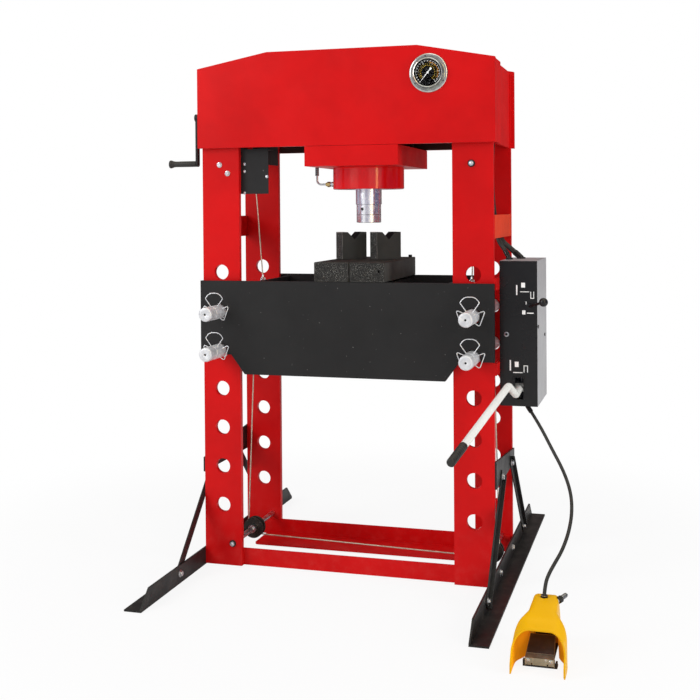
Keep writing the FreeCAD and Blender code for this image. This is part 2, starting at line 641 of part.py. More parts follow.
def gauge_needle():
    """Needle with a broad tail on its spindle, resting on the zero of the scale."""
    y = -CROWN_OUT_Y - GAUGE_RIM + 3.8
    half = [(0.5, 34), (1.6, 0), (1.2, -10), (3.4, -14), (2.6, -20)]
    blade = plate_xz(half + [(-x, z) for x, z in half[::-1]], y, y + 0.8)
    hub = rod((0, y - 0.6, 0), Y_AXIS, 8, 1.6)
    spindle = rod((0, y, 0), Y_AXIS, 3.0, 12)
    needle = blade.fuse(hub).fuse(spindle).removeSplitter()
    needle.rotate(V(0, 0, 0), Y_AXIS, -140)
    needle.translate(V(GAUGE_X, 0, GAUGE_Z))
    return needle


def gauge_lens():
    return rod((GAUGE_X, -CROWN_OUT_Y - GAUGE_RIM + 0.5, GAUGE_Z), Y_AXIS, DIAL_D + 1, 1.8)


# ---- tooling ------------------------------------------------------------------------
def arbor_plate(x0, x1):
    block = box(x0, x1, -PLATE_Y, PLATE_Y, BED_TOP + REST_GAP, PLATE_TOP)
    return block.makeChamfer(2, block.Edges)


def arbor_plate_left():
    return arbor_plate(-101, 25)


def arbor_plate_right():
    """The right plate has a lifting hole in its front end and a knob on its rear."""
    block = arbor_plate(28, 154.5)
    block = block.cut(rod((133, -PLATE_Y, 1069), Y_AXIS, 9, 25))
    knob = rod((140, PLATE_Y - 25, PLATE_TOP), Z_AXIS, 14, 9)
    return block.fuse(knob).removeSplitter()


def v_block(corner_x, corner_y):
    """A block with a V groove along its top; it stands turned on its plate."""
    mid = V_WIDTH / 2
    foot = PLATE_TOP + REST_GAP
    outline = [(0, foot), (V_WIDTH, foot), (V_WIDTH, V_TOP), (mid + V_GROOVE_HALF, V_TOP),
               (mid, V_TOP - V_GROOVE_DEPTH), (mid - V_GROOVE_HALF, V_TOP), (0, V_TOP)]
    block = plate_xz(outline, 0, V_DEPTH)
    block.rotate(V(0, 0, 0), Z_AXIS, V_TURN)
    block.translate(V(corner_x, corner_y, 0))
    return block


# ---- lifting gear -------------------------------------------------------------------
def crank_z():
    """Height of the crank shaft, set by the gears' centre distance."""
    distance = GEAR_MODULE * (PINION_TEETH + DRUM_TEETH) / 2
    return DRUM_Z + math.sqrt(distance ** 2 - (DRUM_Y - CRANK_Y) ** 2)


def mesh_angle():
    """Direction from the drum's axis to the crank's, in the YZ plane."""
    return math.atan2(crank_z() - DRUM_Z, CRANK_Y - DRUM_Y)


def winch_frame():
    """Two cheek plates, tie bars, and the folded cover behind the left column."""
    solids = []
    for x0 in CHEEKS_X:
        cheek = box(x0, x0 + CHEEK_T, COVER_Y, 60, CHEEK_Z0, CHEEK_Z1)
        cheek = cheek.cut(rod((x0, DRUM_Y, DRUM_Z), X_AXIS, DRUM_SHAFT_D + 2 * RUN_FIT, CHEEK_T))
        cheek = cheek.cut(rod((x0, CRANK_Y, crank_z()), X_AXIS, CRANK_SHAFT_D + 2 * RUN_FIT, CHEEK_T))
        solids.append(cheek)
    between = CHEEKS_X[0] + CHEEK_T
    for y, z in ((46, 1690), (46, 1466), (-170, 1690)):
        solids.append(rod((between, y, z), X_AXIS, 14, CHEEKS_X[1] - between))
    lip_y = COVER_Y + 60
    face = box(COVER_X0, COVER_X1, COVER_Y - COVER_T, COVER_Y, COVER_Z0, COVER_Z1)
    lip = box(COVER_X0, COVER_X1, COVER_Y, lip_y, COVER_Z1 - COVER_T, COVER_Z1)
    for x0 in CHEEKS_X:
        lip = lip.cut(box(x0 - 0.1, x0 + CHEEK_T + 0.1, COVER_Y, lip_y, COVER_Z1 - COVER_T, COVER_Z1))
    solids.append(face.fuse(lip).removeSplitter())
    return group(solids)


def winch_drum():
    """Drum with flanges, its wound rope, the large gear, and the shaft in the cheeks."""
    shaft = rod((-486, DRUM_Y, DRUM_Z), X_AXIS, DRUM_SHAFT_D, 153)
    hub = rod((-470, DRUM_Y, DRUM_Z), X_AXIS, 2 * DRUM_R, 104)
    solid = shaft.fuse(hub)
    for x in (-470, -372):
        solid = solid.fuse(rod((x, DRUM_Y, DRUM_Z), X_AXIS, 88, 4))
    gap_at_mesh = mesh_angle() + math.pi / DRUM_TEETH
    gear = spur_gear(DRUM_TEETH, GEAR_MODULE, 12, DRUM_SHAFT_D, gap_at_mesh)
    gear.translate(V(GEAR_X, DRUM_Y, DRUM_Z))
    collar = rod((-368, DRUM_Y, DRUM_Z), X_AXIS, 40, 6)
    return solid.fuse(collar).fuse(gear).removeSplitter()


def crank_arm():
    """Flat crank arm on its shaft, with the pinion inside the winch and the grip's pin."""
    z = crank_z()
    shaft = rod((CRANK_ARM_X, CRANK_Y, z), X_AXIS, CRANK_SHAFT_D, 255)
    pinion = spur_gear(PINION_TEETH, GEAR_MODULE, 14, CRANK_SHAFT_D, mesh_angle() + math.pi)
    pinion.translate(V(GEAR_X - 1, CRANK_Y, z))
    arm = box(CRANK_ARM_X - 4, CRANK_ARM_X + 4, CRANK_Y - 11, CRANK_Y + 11, z - CRANK_LENGTH, z)
    arm = arm.fuse(rod((CRANK_ARM_X - 4, CRANK_Y, z - CRANK_LENGTH), X_AXIS, 22, 8))
    arm = arm.fuse(rod((CRANK_ARM_X - 7, CRANK_Y, z), X_AXIS, 28, 16))
    grip_pin = rod((CRANK_ARM_X, CRANK_Y, z - CRANK_LENGTH), -X_AXIS, GRIP_PIN_D, 106)
    return shaft.fuse(pinion).fuse(arm).fuse(grip_pin).removeSplitter()


def crank_grip():
    """Round grip with a flared end, turning on the crank's pin."""
    z = crank_z() - CRANK_LENGTH
    x = CRANK_ARM_X - 5
    grip = rod((x, CRANK_Y, z), -X_AXIS, 22, 100)
    flare = Part.makeCone(11, 15, 6, V(x - 96, CRANK_Y, z), -X_AXIS)
    end = rod((x - 102, CRANK_Y, z), -X_AXIS, 30, 5)
    bore = rod((x, CRANK_Y, z), -X_AXIS, GRIP_PIN_D + 2 * RUN_FIT, 102)
    return grip.fuse(flare).fuse(end).removeSplitter().cut(bore)


def sheave(place):
    """A grooved wheel about Y, running on its shaft."""
    x, z = place
    groove = SHEAVE_ROPE_R - ROPE_D / 2 - 0.4
    half, cheek = 17.0, 10.0
    wheel = rod((x, -half, z), Y_AXIS, 2 * groove, 2 * half)
    for y0 in (-half, half - cheek):
        wheel = wheel.fuse(rod((x, y0, z), Y_AXIS, 2 * SHEAVE_FLANGE_R, cheek))
    return wheel.removeSplitter().cut(rod((x, -half, z), Y_AXIS, SHAFT_D + 2 * RUN_FIT, 2 * half))


def sheave_shafts():
    """Shafts from the front bar to the rear bar, with a set collar on each side of the
    wheel. Two of them are held by a bolt whose round head is outside the front bar."""
    solids = []
    for x, z in (SHEAVE_BASE_LEFT, SHEAVE_BASE_RIGHT, SHEAVE_TOP_RIGHT):
        shaft = rod((x, -BAR_IN_Y, z), Y_AXIS, SHAFT_D, 2 * BAR_IN_Y)
        for y0 in (-18 - 14, 18):
            shaft = shaft.fuse(rod((x, y0, z), Y_AXIS, 30, 14))
        solids.append(shaft.removeSplitter())
    for x, z in (SHEAVE_BASE_LEFT, SHEAVE_TOP_RIGHT):
        solids.append(rod((x, -BAR_OUT_Y, z), -Y_AXIS, 17, 7))
    return group(solids)


def lift_ropes():
    """The winch rope down to the bed's left eye, and the levelling rope from under that
    eye round both lower sheaves and the upper right one to the bed's right eye."""
    left, right, top = SHEAVE_BASE_LEFT, SHEAVE_BASE_RIGHT, SHEAVE_TOP_RIGHT
    level = belt([(-409, 962, 0, 1), (*left, SHEAVE_ROPE_R, 1), (*right, SHEAVE_ROPE_R, 1),
                  (*top, SHEAVE_ROPE_R, 1), (415, 1020, 0, 1)], 0)
    hoist = Part.Wire([Part.LineSegment(V(-380, 0, 1020), V(-420, 0, DRUM_Z)).toShape()])
    print("levelling rope %.0f mm, hoist rope %.0f mm" % (level.Length, hoist.Length))
    return group([sweep_round(hoist, ROPE_D), sweep_round(level, ROPE_D)])


# ---- pump cabinet -------------------------------------------------------------------
def cabinet_shell():
    """Folded sheet case, open at the front, with holes for the hoses."""
    case = box(CAB_X0, CAB_X1, -CAB_Y, CAB_Y, CAB_Z0, CAB_Z1)
    case = case.cut(box(CAB_X0 + SHEET, CAB_X1 - SHEET, -CAB_Y, CAB_Y - SHEET, CAB_Z0 + SHEET,
                        CAB_Z1 - SHEET))
    for diameter, route in PUMP_HOSES:
        foot, _ = elbow_foot(route)
        case = case.cut(rod((foot.x, foot.y, CAB_Z1 - SHEET), Z_AXIS, diameter, SHEET))
    case = case.cut(rod((GLAND_X, GLAND_Y, CAB_Z0), Z_AXIS, 14, SHEET))
    return case


def cabinet_panel():
    """The front panel, with the slot for the pump handle and the valve spindle's hole."""
    y0 = -CAB_Y - SHEET
    panel = box(CAB_X0, CAB_X1, y0, -CAB_Y, CAB_Z0, CAB_Z1)
    panel = panel.cut(box(PUMP_PIVOT[0] - 15, PUMP_PIVOT[0] + 15, y0, -CAB_Y, 632, 706))
    panel = panel.cut(rod((LEVER_PIVOT[0], y0, LEVER_PIVOT[1]), Y_AXIS, 12 + 2 * RUN_FIT, SHEET))
    return panel


def leaning_gland(foot, way, length, diameter, collar):
    """A round collar on a sheet, and the nozzle that leans out of it."""
    nozzle = Part.makeCylinder(diameter / 2, length, foot, way)
    knuckle = Part.makeSphere(diameter / 2, foot)
    return nozzle.fuse(knuckle).fuse(collar).removeSplitter()


def elbow_foot(route):
    """The knuckle of the elbow that a hose leaves, and the way the hose leaves it."""
    start, after = V(*route[0]), V(*route[1])
    way = (after - start).normalize()
    return start - way * ELBOW_LENGTH, way


def cabinet_glands():
    """Two plugs in the side, the hoses' elbows on top, and the pedal hose's gland."""
    solids = [rod((CAB_X1, -126, 880), X_AXIS, 12, 3), rod((CAB_X1, 76, 832), X_AXIS, 12, 3)]
    for diameter, route in PUMP_HOSES:
        foot, way = elbow_foot(route)
        low = (foot.x, foot.y, CAB_Z1 - SHEET - 4)
        collar = rod(low, Z_AXIS, diameter, foot.z - low[2])
        collar = collar.fuse(rod((foot.x, foot.y, CAB_Z1), Z_AXIS, diameter + 10, 4))
        solids.append(leaning_gland(foot, way, ELBOW_LENGTH, diameter, collar))
    collar = rod((GLAND_X, GLAND_Y, GLAND_Z), Z_AXIS, 22, CAB_Z0 - GLAND_Z)
    collar = collar.fuse(rod((GLAND_X, GLAND_Y, CAB_Z0), Z_AXIS, 14, SHEET + 6))
    solids.append(leaning_gland(V(GLAND_X, GLAND_Y, GLAND_Z), GLAND_WAY, GLAND_LENGTH, 16, collar))
    return group(solids)


def pump_block():
    """Oil tank and pump body with the ears that carry the handle, and the air motor."""
    px, py, pz = PUMP_PIVOT
    tank = box(545, 655, 20, 136, 640, 1040)
    body = box(px - 30, px + 30, -52, 20, 690, 860)
    body = body.cut(rod((px, PLUNGER_Y, 690), Z_AXIS, PLUNGER_D + 2 * RUN_FIT, 70))
    ears = []
    for x0 in (px - 26, px + 17):
        ear = box(x0, x0 + 9, py - 14, -52, pz - 14, 740)
        ear = ear.cut(rod((x0, py, pz), X_AXIS, 12 + 2 * RUN_FIT, 9))
        ears.append(ear)
    block = body.fuse(ears[0]).fuse(ears[1]).removeSplitter()
    motor = rod((px, -16, 860), Z_AXIS, 64, 130)
    foot = box(px - 40, px + 40, -10, 130, CAB_Z0 + SHEET, 640)
    return group([tank, block, motor, foot])


def pump_plunger():
    """The pump's plunger, riding on the inner end of the handle's socket."""
    px, _, pz = PUMP_PIVOT
    return rod((px, PLUNGER_Y, pz + 9.5), Z_AXIS, PLUNGER_D, 55)


def pump_handle():
    """Socket with its pivot pin and inner arm, and the bent tube of the handle."""
    px, py, pz = PUMP_PIVOT
    socket = rod((px - 16, py, pz), X_AXIS, 30, 32)
    pivot = rod((px - 28, py, pz), X_AXIS, 12, 56)
    arm = box(px - 7, px + 7, py, PLUNGER_Y, pz - 5, pz + 5)
    arm = arm.fuse(rod((px - 7, PLUNGER_Y, pz), X_AXIS, 16, 14))
    points = [(px, py, pz), (px, py - 116, pz - 8), HANDLE_PEAK, HANDLE_BREAK]
    wire, _ = bent_path(points, [44, 38])
    tube = sweep_round(wire, HANDLE_D)
    return socket.fuse(pivot).fuse(arm).fuse(tube).removeSplitter()


def handle_grip():
    """Rubber grip on the lower end of the handle."""
    way = (V(*HANDLE_BREAK) - V(*HANDLE_PEAK)).normalize()
    return Part.makeCylinder(GRIP_D / 2, 112, V(*HANDLE_BREAK), way)


def valve_lever():
    """Spindle, hub and cranked lever with a ball knob."""
    x, z = LEVER_PIVOT
    face = -CAB_Y - SHEET
    spindle = rod((x, face - 10, z), Y_AXIS, 12, 40)
    hub = rod((x, face - 14, z), Y_AXIS, 20, 13)
    knob = V(689, face - 44, 968)
    foot = V(x, face - 8, z)
    way = (knob - foot).normalize()
    stick = Part.makeCylinder(4.5, (knob - foot).Length, foot, way)
    ball = Part.makeSphere(15, knob)
    return spindle.fuse(hub).fuse(stick).fuse(ball).removeSplitter()


def pump_hoses():
    """Two pressure hoses from the cabinet's top, in under the side link and up between
    the right column's bars into the crown."""
    solids = []
    for k, (diameter, points) in enumerate(PUMP_HOSES):
        wire, radii = bent_path(points)
        tube = sweep_round(wire, diameter)
        report_tube("pump hose %d" % (k + 1), tube, wire, diameter, radii)
        solids.append(tube)
    return group(solids)


# ---- foot pedal ---------------------------------------------------------------------
def arch_section(station, inset, foot_z):
    """An inverted U across the pedal, as a closed outline. A station is (y, half width at
    the foot, height, how far each side leans in, radius of the shoulders)."""
    y, half, height, lean, bend = station
    half, height = half - inset, height - inset
    left, right = PEDAL_X - half, PEDAL_X + half
    k = bend * (1 - math.sqrt(0.5))
    top_left, top_right = left + lean, right - lean
    edges = [
        Part.LineSegment(V(left, y, foot_z), V(top_left, y, height - bend)).toShape(),
        Part.Arc(V(top_left, y, height - bend), V(top_left + k, y, height - k),
                 V(top_left + bend, y, height)).toShape(),
        Part.LineSegment(V(top_left + bend, y, height), V(top_right - bend, y, height)).toShape(),
        Part.Arc(V(top_right - bend, y, height), V(top_right - k, y, height - k),
                 V(top_right, y, height - bend)).toShape(),
        Part.LineSegment(V(top_right, y, height - bend), V(right, y, foot_z)).toShape(),
        Part.LineSegment(V(right, y, foot_z), V(left, y, foot_z)).toShape()]
    return Part.Wire(edges)


def pedal_hood():
    """A one-piece guard: a wide arch over the treadle that narrows to the valve behind."""
    wall, end_wall = 3.5, 4.0
    end = (PEDAL_REAR, *HOOD_STATIONS[-1][1:])
    inside_end = (PEDAL_REAR - end_wall, *end[1:])
    outer = Part.makeLoft([arch_section(s, 0, 0) for s in HOOD_STATIONS[:-1] + (end,)], True, True)
    inner = Part.makeLoft([arch_section(s, wall, -1) for s in HOOD_STATIONS[:-1] + (inside_end,)],
                          True, True)
    hood = outer.cut(inner)
    for fitting in (hose_socket(), air_inlet()):
        hood = hood.cut(fitting)
    cut = plate_yz([(PEDAL_FRONT - 11, 12), (PEDAL_FRONT + 72, 130), (PEDAL_FRONT - 11, 130)],
                   PEDAL_X - 90, PEDAL_X + 90)
    return hood.cut(cut)


def pedal_base():
    """Base plate, the two ears of the treadle's hinge, and the valve body behind."""
    y, z = TREADLE_PIVOT
    half = TREAD_HALF_FRONT + 7
    solid = box(PEDAL_X - 34, PEDAL_X + 34, y, PEDAL_REAR - 6, 0, 5)
    solid = solid.fuse(box(PEDAL_X - half, PEDAL_X + half, y - 4, y + 22, 0, 5))
    for x0 in (PEDAL_X - half, PEDAL_X + half - 5):
        ear = box(x0, x0 + 5, y - 4, y + 12, 5, z + 6)
        solid = solid.fuse(ear.cut(rod((x0, y, z), X_AXIS, HINGE_D + 2 * RUN_FIT, 5)))
    return solid.fuse(valve_body()).removeSplitter()


def valve_body():
    return box(PEDAL_X - 26, PEDAL_X + 26, -712, PEDAL_REAR - 8, 5, VALVE_TOP)


def hose_socket():
    return rod((PEDAL_X - 4, PEDAL_REAR - 30, VALVE_TOP), Z_AXIS, 20, PEDAL_SOCKET_TOP - VALVE_TOP)


def air_inlet():
    """A riser on the valve and a nipple that leans out of the guard's rear right shoulder."""
    x, y, z = PEDAL_X + 22, PEDAL_REAR - 40, VALVE_TOP + 38
    riser = rod((x, y, VALVE_TOP), Z_AXIS, INLET_D, z - VALVE_TOP)
    knuckle = Part.makeSphere(INLET_D / 2, V(x, y, z))
    way = V(35, 45, 17)
    nipple = Part.makeCylinder(INLET_D / 2, way.Length, V(x, y, z), way)
    return riser.fuse(knuckle).fuse(nipple).removeSplitter()


def pedal_valve():
    return group([hose_socket(), air_inlet()])


def treadle():
    """Tread plate rising to the rear, folded down at the front into a lip, with two lugs
    on the hinge pin behind the lip."""
    y, z = TREADLE_PIVOT
    (front, top), (rear, rise) = TREAD_FRONT, TREAD_REAR
    half, narrow = TREAD_HALF_FRONT, TREAD_HALF_REAR
    side = plate_yz([(front, top - TREAD_LIP), (rear, rise - TREAD_LIP), (rear, rise), (front, top)],
                    PEDAL_X - half, PEDAL_X + half)
    taper = plate_xy([(PEDAL_X - half, front), (PEDAL_X + half, front), (PEDAL_X + narrow, rear),
                      (PEDAL_X - narrow, rear)], 0, rise)
    plate = side.common(taper)
    lip = box(PEDAL_X - half, PEDAL_X + half, front - TREAD_LIP, front, 4, top)
    for x in (-22, 22):
        lip = lip.cut(rod((PEDAL_X + x, front - TREAD_LIP, 11), Y_AXIS, 5, TREAD_LIP))
    plate = plate.fuse(lip)
    for x0 in (PEDAL_X - half, PEDAL_X + half - 5):
        plate = plate.fuse(box(x0, x0 + 5, front, y + 5, z - 5, top - 6))
    pin_half = half + 6.5
    hinge = rod((PEDAL_X - pin_half, y, z), X_AXIS, HINGE_D, 2 * pin_half)
    return plate.fuse(hinge).removeSplitter()


def pedal_hose():
    """Air hose from the gland under the cabinet, swinging out and down to the pedal."""
    start = V(GLAND_X, GLAND_Y, GLAND_Z) + GLAND_WAY * GLAND_LENGTH
    points = [tuple(start), tuple(start + GLAND_WAY * 56), (711, -170, 477),
              (757, -228, 415), (787, -303, 364), (798, -388, 323), (796, -476, 286),
              (783, -554, 250), (765, -611, 225), (751, -650, 203), (744, -672, 181),
              (PEDAL_X - 4, PEDAL_REAR - 30, PEDAL_SOCKET_TOP)]
    wire, radii = bent_path(points)
    tube = sweep_round(wire, HOSE_D)
    report_tube("pedal_hose", tube, wire, HOSE_D, radii)
    return tube


# ---- all sub-parts ------------------------------------------------------------------
def nodes():
    front, rear = -BAR_OUT_Y, BAR_IN_Y
    return {
        "column_front_left": column(-COLUMN_X, front),
        "column_front_right": column(COLUMN_X, front),
        "column_rear_left": column(-COLUMN_X, rear),
        "column_rear_right": column(COLUMN_X, rear),
        "crown_front_plate": crown_front_plate(),
        "crown_rear_plate": crown_rear_plate(),
        "crown_stiffeners": crown_stiffeners(),
        "side_plates": side_plates(),
        "base_bars": base_bars(),
        "feet": feet(),
        "brace_brackets": brace_brackets(),
        "braces": braces(),
        "frame_bolts": frame_bolts(),
        "bed_front_plate": bed_plate(-BED_OUT_Y),
        "bed_rear_plate": bed_plate(BED_IN_Y),
        "bed_cross_members": bed_cross_members(),
        "rope_eyes": rope_eyes(),
        "winch_frame": winch_frame(),
        "sheave_shafts": sheave_shafts(),
        "lift_ropes": lift_ropes(),
        "gauge_case": gauge_case(),
        "gauge_dial": gauge_dial(),
        "gauge_lens": gauge_lens(),
        "cabinet_shell": cabinet_shell(),
        "cabinet_panel": cabinet_panel(),
        "cabinet_glands": cabinet_glands(),
        "pump_block": pump_block(),
        "pump_hoses": pump_hoses(),
        "pedal_base": pedal_base(),
        "pedal_hood": pedal_hood(),
        "pedal_valve": pedal_valve(),
        "pedal_hose": pedal_hose(),
        "cylinder_carriage": cylinder_carriage(),
        "cylinder_barrel": cylinder_barrel(),
        "cylinder_gland": cylinder_gland(),
        "carriage_hanger": carriage_hanger(),
        "cylinder_port": cylinder_port(),
        "cylinder_hose": cylinder_hose(),
        "piston_rod": piston_rod(),
        "ram_nose": ram_nose(),
        "gauge_needle": gauge_needle(),
        "pin_upper_left": pin(-COLUMN_X, PIN_UPPER_Z),
        "pin_upper_right": pin(COLUMN_X, PIN_UPPER_Z),
        "pin_lower_left": pin(-COLUMN_X, PIN_LOWER_Z),
        "pin_lower_right": pin(COLUMN_X, PIN_LOWER_Z),
        "crank_arm": crank_arm(),
        "crank_grip": crank_grip(),
        "winch_drum": winch_drum(),
        "sheave_base_left": sheave(SHEAVE_BASE_LEFT),
        "sheave_base_right": sheave(SHEAVE_BASE_RIGHT),
        "sheave_top_right": sheave(SHEAVE_TOP_RIGHT),
        "pump_handle": pump_handle(),
        "handle_grip": handle_grip(),
        "pump_plunger": pump_plunger(),
        "valve_lever": valve_lever(),
        "treadle": treadle(),
        "arbor_plate_left": arbor_plate_left(),
        "arbor_plate_right": arbor_plate_right(),
        "v_block_left": v_block(-63, -10),
        "v_block_right": v_block(68, -10),
    }


def main():
    os.makedirs("parts", exist_ok=True)
    for name, shape in nodes().items():
        shape.exportStep("parts/%s.step" % name)
    print("sub-parts written")


main()
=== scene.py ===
# %% [markdown]
# # A hydraulic shop press, dressed for its picture
# The press arrives as a finished engineering model: every plate, pin and pipe is already
# in its place, in metres, with the floor at z = 0 and the front of the press towards -Y.
# This lesson gives each part its real surface, and adds the small things that a
# construction model leaves out: wire clips, welds, rope strands, dial marks and grips.

# %% Load the model
import math

import bmesh
import bpy
from mathutils import Matrix, Vector


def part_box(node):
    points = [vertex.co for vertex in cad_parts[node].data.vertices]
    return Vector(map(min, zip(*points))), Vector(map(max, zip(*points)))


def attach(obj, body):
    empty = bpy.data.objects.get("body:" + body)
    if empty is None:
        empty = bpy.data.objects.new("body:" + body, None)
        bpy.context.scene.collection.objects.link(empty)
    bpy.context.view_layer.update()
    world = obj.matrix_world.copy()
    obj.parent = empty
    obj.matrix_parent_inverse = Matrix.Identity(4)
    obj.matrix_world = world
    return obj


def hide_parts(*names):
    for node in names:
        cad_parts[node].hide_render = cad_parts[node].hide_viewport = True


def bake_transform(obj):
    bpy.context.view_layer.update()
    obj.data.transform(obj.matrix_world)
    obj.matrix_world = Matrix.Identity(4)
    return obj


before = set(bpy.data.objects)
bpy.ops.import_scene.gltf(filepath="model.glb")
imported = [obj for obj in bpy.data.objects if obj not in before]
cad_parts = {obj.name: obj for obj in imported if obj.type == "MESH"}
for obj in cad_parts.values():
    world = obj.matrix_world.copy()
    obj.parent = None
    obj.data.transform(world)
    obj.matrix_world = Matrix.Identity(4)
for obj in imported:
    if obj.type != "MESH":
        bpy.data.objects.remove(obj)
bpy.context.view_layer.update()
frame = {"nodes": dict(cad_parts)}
nodes = frame["nodes"]
FRONT, UP = (0, -1, 0), (0, 0, 1)


def shown(name, data):
    """A new object with this data, in the picture."""
    made = bpy.data.objects.new(name, data)
    bpy.context.scene.collection.objects.link(made)
    return made


# %% [markdown]
# ## Camera
# A catalogue shows a machine from well back with a long lens, at shoulder height, from a
# little to the right of the press. The camera is kept level so that the columns stay upright, and
# the lens is shifted down instead of the camera being tipped.

# %% Camera
AZIMUTH, ELEVATION, ROLL = math.radians(16.2534), math.radians(0.7067), math.radians(-0.3969)
EYE = Vector((1.1114, -3.9953, 1.2853))
back = Vector((math.sin(AZIMUTH) * math.cos(ELEVATION), -math.cos(AZIMUTH) * math.cos(ELEVATION),
               math.sin(ELEVATION)))
level = Vector((math.cos(AZIMUTH), math.sin(AZIMUTH), 0))
right = math.cos(ROLL) * level + math.sin(ROLL) * back.cross(level)
lens = bpy.data.cameras.new("camera")
lens.sensor_width, lens.lens = 36, 57.996
lens.shift_x, lens.shift_y = 0.0060, -0.1815
camera = shown("camera", lens)
turn = Matrix((right, back.cross(right), back)).transposed()
camera.matrix_world = Matrix.Translation(EYE) @ turn.to_4x4()
bpy.context.scene.camera = camera
bpy.context.scene.view_settings.view_transform = "Standard"
print("camera at", [round(v, 2) for v in EYE], "with a lens of", round(lens.lens), "mm")

# %% [markdown]
# ## The pedal's air hose
# The hose hangs from a gland under the pump cabinet, swings out to the side and drops into
# the top of the foot pedal. It is one smooth curve through a few control points, because a
# hose is never made of straight pieces. Each point carries the hose's radius, and the
# bevel only makes the section round.

# %% Pedal hose
HOSE_ROUTE = [(0.6356, -0.1013, 0.5836), (0.6673, -0.1232, 0.5429), (0.711, -0.170, 0.477),
              (0.757, -0.228, 0.415), (0.787, -0.303, 0.364), (0.798, -0.388, 0.323),
              (0.796, -0.476, 0.286), (0.783, -0.554, 0.250), (0.765, -0.611, 0.225),
              (0.751, -0.650, 0.203), (0.744, -0.672, 0.181), (0.742, -0.680, 0.152)]
curve = bpy.data.curves.new("pedal_air_hose", "CURVE")
curve.dimensions, curve.use_fill_caps = "3D", True
curve.bevel_depth, curve.bevel_resolution = 1.0, 6
line = curve.splines.new("NURBS")
line.points.add(len(HOSE_ROUTE) - 1)
for point, place in zip(line.points, HOSE_ROUTE):
    point.co, point.radius = (*place, 1), 0.011 / 2
line.order_u = 3
line.use_endpoint_u = True
line.resolution_u = 12
hose = shown("pedal_air_hose", curve)
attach(hose, "frame")
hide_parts("pedal_hose")
print("hose through", len(HOSE_ROUTE), "control points")

# %% [markdown]
# ## Floor and light
# A machine catalogue shows its product on white. The floor is pale and still catches the
# soft shadow under the feet, and it fades into the white world further out. Two large
# panels of soft light stand to the left and the right of the camera, and a weak one above.
# The materials below are small trees of nodes. Two short classes let them be written as
# sums and products, so that each one reads like a recipe.

# %% Shader arithmetic
class Value:
    """One output of a shader tree. Arithmetic on it adds Math nodes."""

    def __init__(self, nodes, socket):
        self.nodes, self.socket = nodes, socket

    def math(self, operation, *others):
        return self.nodes.add("ShaderNodeMath", {"operation": operation}, self, *others)

    def __rsub__(self, other):
        return self.nodes.add("ShaderNodeMath", {"operation": "SUBTRACT"}, other, self)


for sign, operation in (("add", "ADD"), ("radd", "ADD"), ("sub", "SUBTRACT"), ("mul", "MULTIPLY"),
                        ("rmul", "MULTIPLY"), ("truediv", "DIVIDE"), ("pow", "POWER"), ("lt", "LESS_THAN")):
    setattr(Value, "__%s__" % sign, lambda self, other, kind=operation: self.math(kind, other))


class Nodes:
    """Adds nodes to one shader tree."""

    def __init__(self, tree):
        self.tree = tree

    def add(self, kind, settings=None, *values, out=0, **named):
        node = self.tree.nodes.new(kind)
        for key, value in (settings or {}).items():
            if key == "stops":
                ramp = node.color_ramp
                while len(ramp.elements) < len(value):
                    ramp.elements.new(0.5)
                for stop, (place, shade) in zip(ramp.elements, value):
                    stop.position, stop.color = place, shade
            else:
                setattr(node, key, value)
        for k, value in list(enumerate(values)) + list(named.items()):
            self.feed(node.inputs[k], value)
        return Value(self, node.outputs[out])

    def feed(self, socket, value):
        if isinstance(value, Value):
            self.tree.links.new(value.socket, socket)
        elif value is not None:
            socket.default_value = value

    def step(self, value, low, high):
        """0 below low, 1 above high, smooth between."""
        return self.add("ShaderNodeMapRange", {"interpolation_type": "SMOOTHSTEP"}, value, low, high)

    def mix(self, factor, a, b):
        """Colour a where factor is 0, colour b where it is 1."""
        return self.add("ShaderNodeMix", {"data_type": "RGBA"}, factor, None, None, None, None, None,
                        colour(a), colour(b), out=2)

    def ray(self, kind):
        """1 for the light rays of this kind, 0 for others."""
        return self.add("ShaderNodeLightPath", out="Is %s Ray" % kind)


# %% [markdown]
# ### Finishes
# A finish is one material. Its patterns are noise on the object's own coordinates, so that
# nothing has to be unwrapped. Wear, dust and scratches could each be painted by hand, but a
# noise that is cut off between two levels gives the same patches and is easy to change.

# %% Finishes
class Finish(Nodes):
    """A material. Sockets that are the same everywhere are given as numbers."""

    def __init__(self, name, **fixed):
        self.material = bpy.data.materials.new(name)
        self.material.use_nodes = True
        super().__init__(self.material.node_tree)
        self.shader = self.tree.nodes["Principled BSDF"]
        self.set(**fixed)

    def set(self, **sockets):
        for key, value in sockets.items():
            self.feed(self.shader.inputs[key.replace("_", " ").title().replace("Ior", "IOR")], value)
        return self.material

    def place(self):
        return self.add("ShaderNodeTexCoord", out="Object")

    def axis(self, letter):
        return self.add("ShaderNodeSeparateXYZ", None, self.place(), out=letter)

    def noise(self, scale, detail=3, rough=0.5, stretch=(1, 1, 1)):
        at = self.add("ShaderNodeMapping", None, Vector=self.place(), Scale=stretch)
        return self.add("ShaderNodeTexNoise", None, Vector=at, Scale=scale, Detail=detail, Roughness=rough)

    def patches(self, scale, detail, rough, low, high, stretch=(1, 1, 1)):
        """Noise made into separate patches: 1 inside them, 0 between."""
        return self.step(self.noise(scale, detail, rough, stretch), low, high)

    def bump(self, height, distance):
        self.set(normal=self.add("ShaderNodeBump", None, Strength=1.0, Distance=distance, Height=height))


def colour(value):
    return (*value, 1) if isinstance(value, tuple) and len(value) == 3 else value


def times(shade, share):
    return tuple(c * share for c in shade)


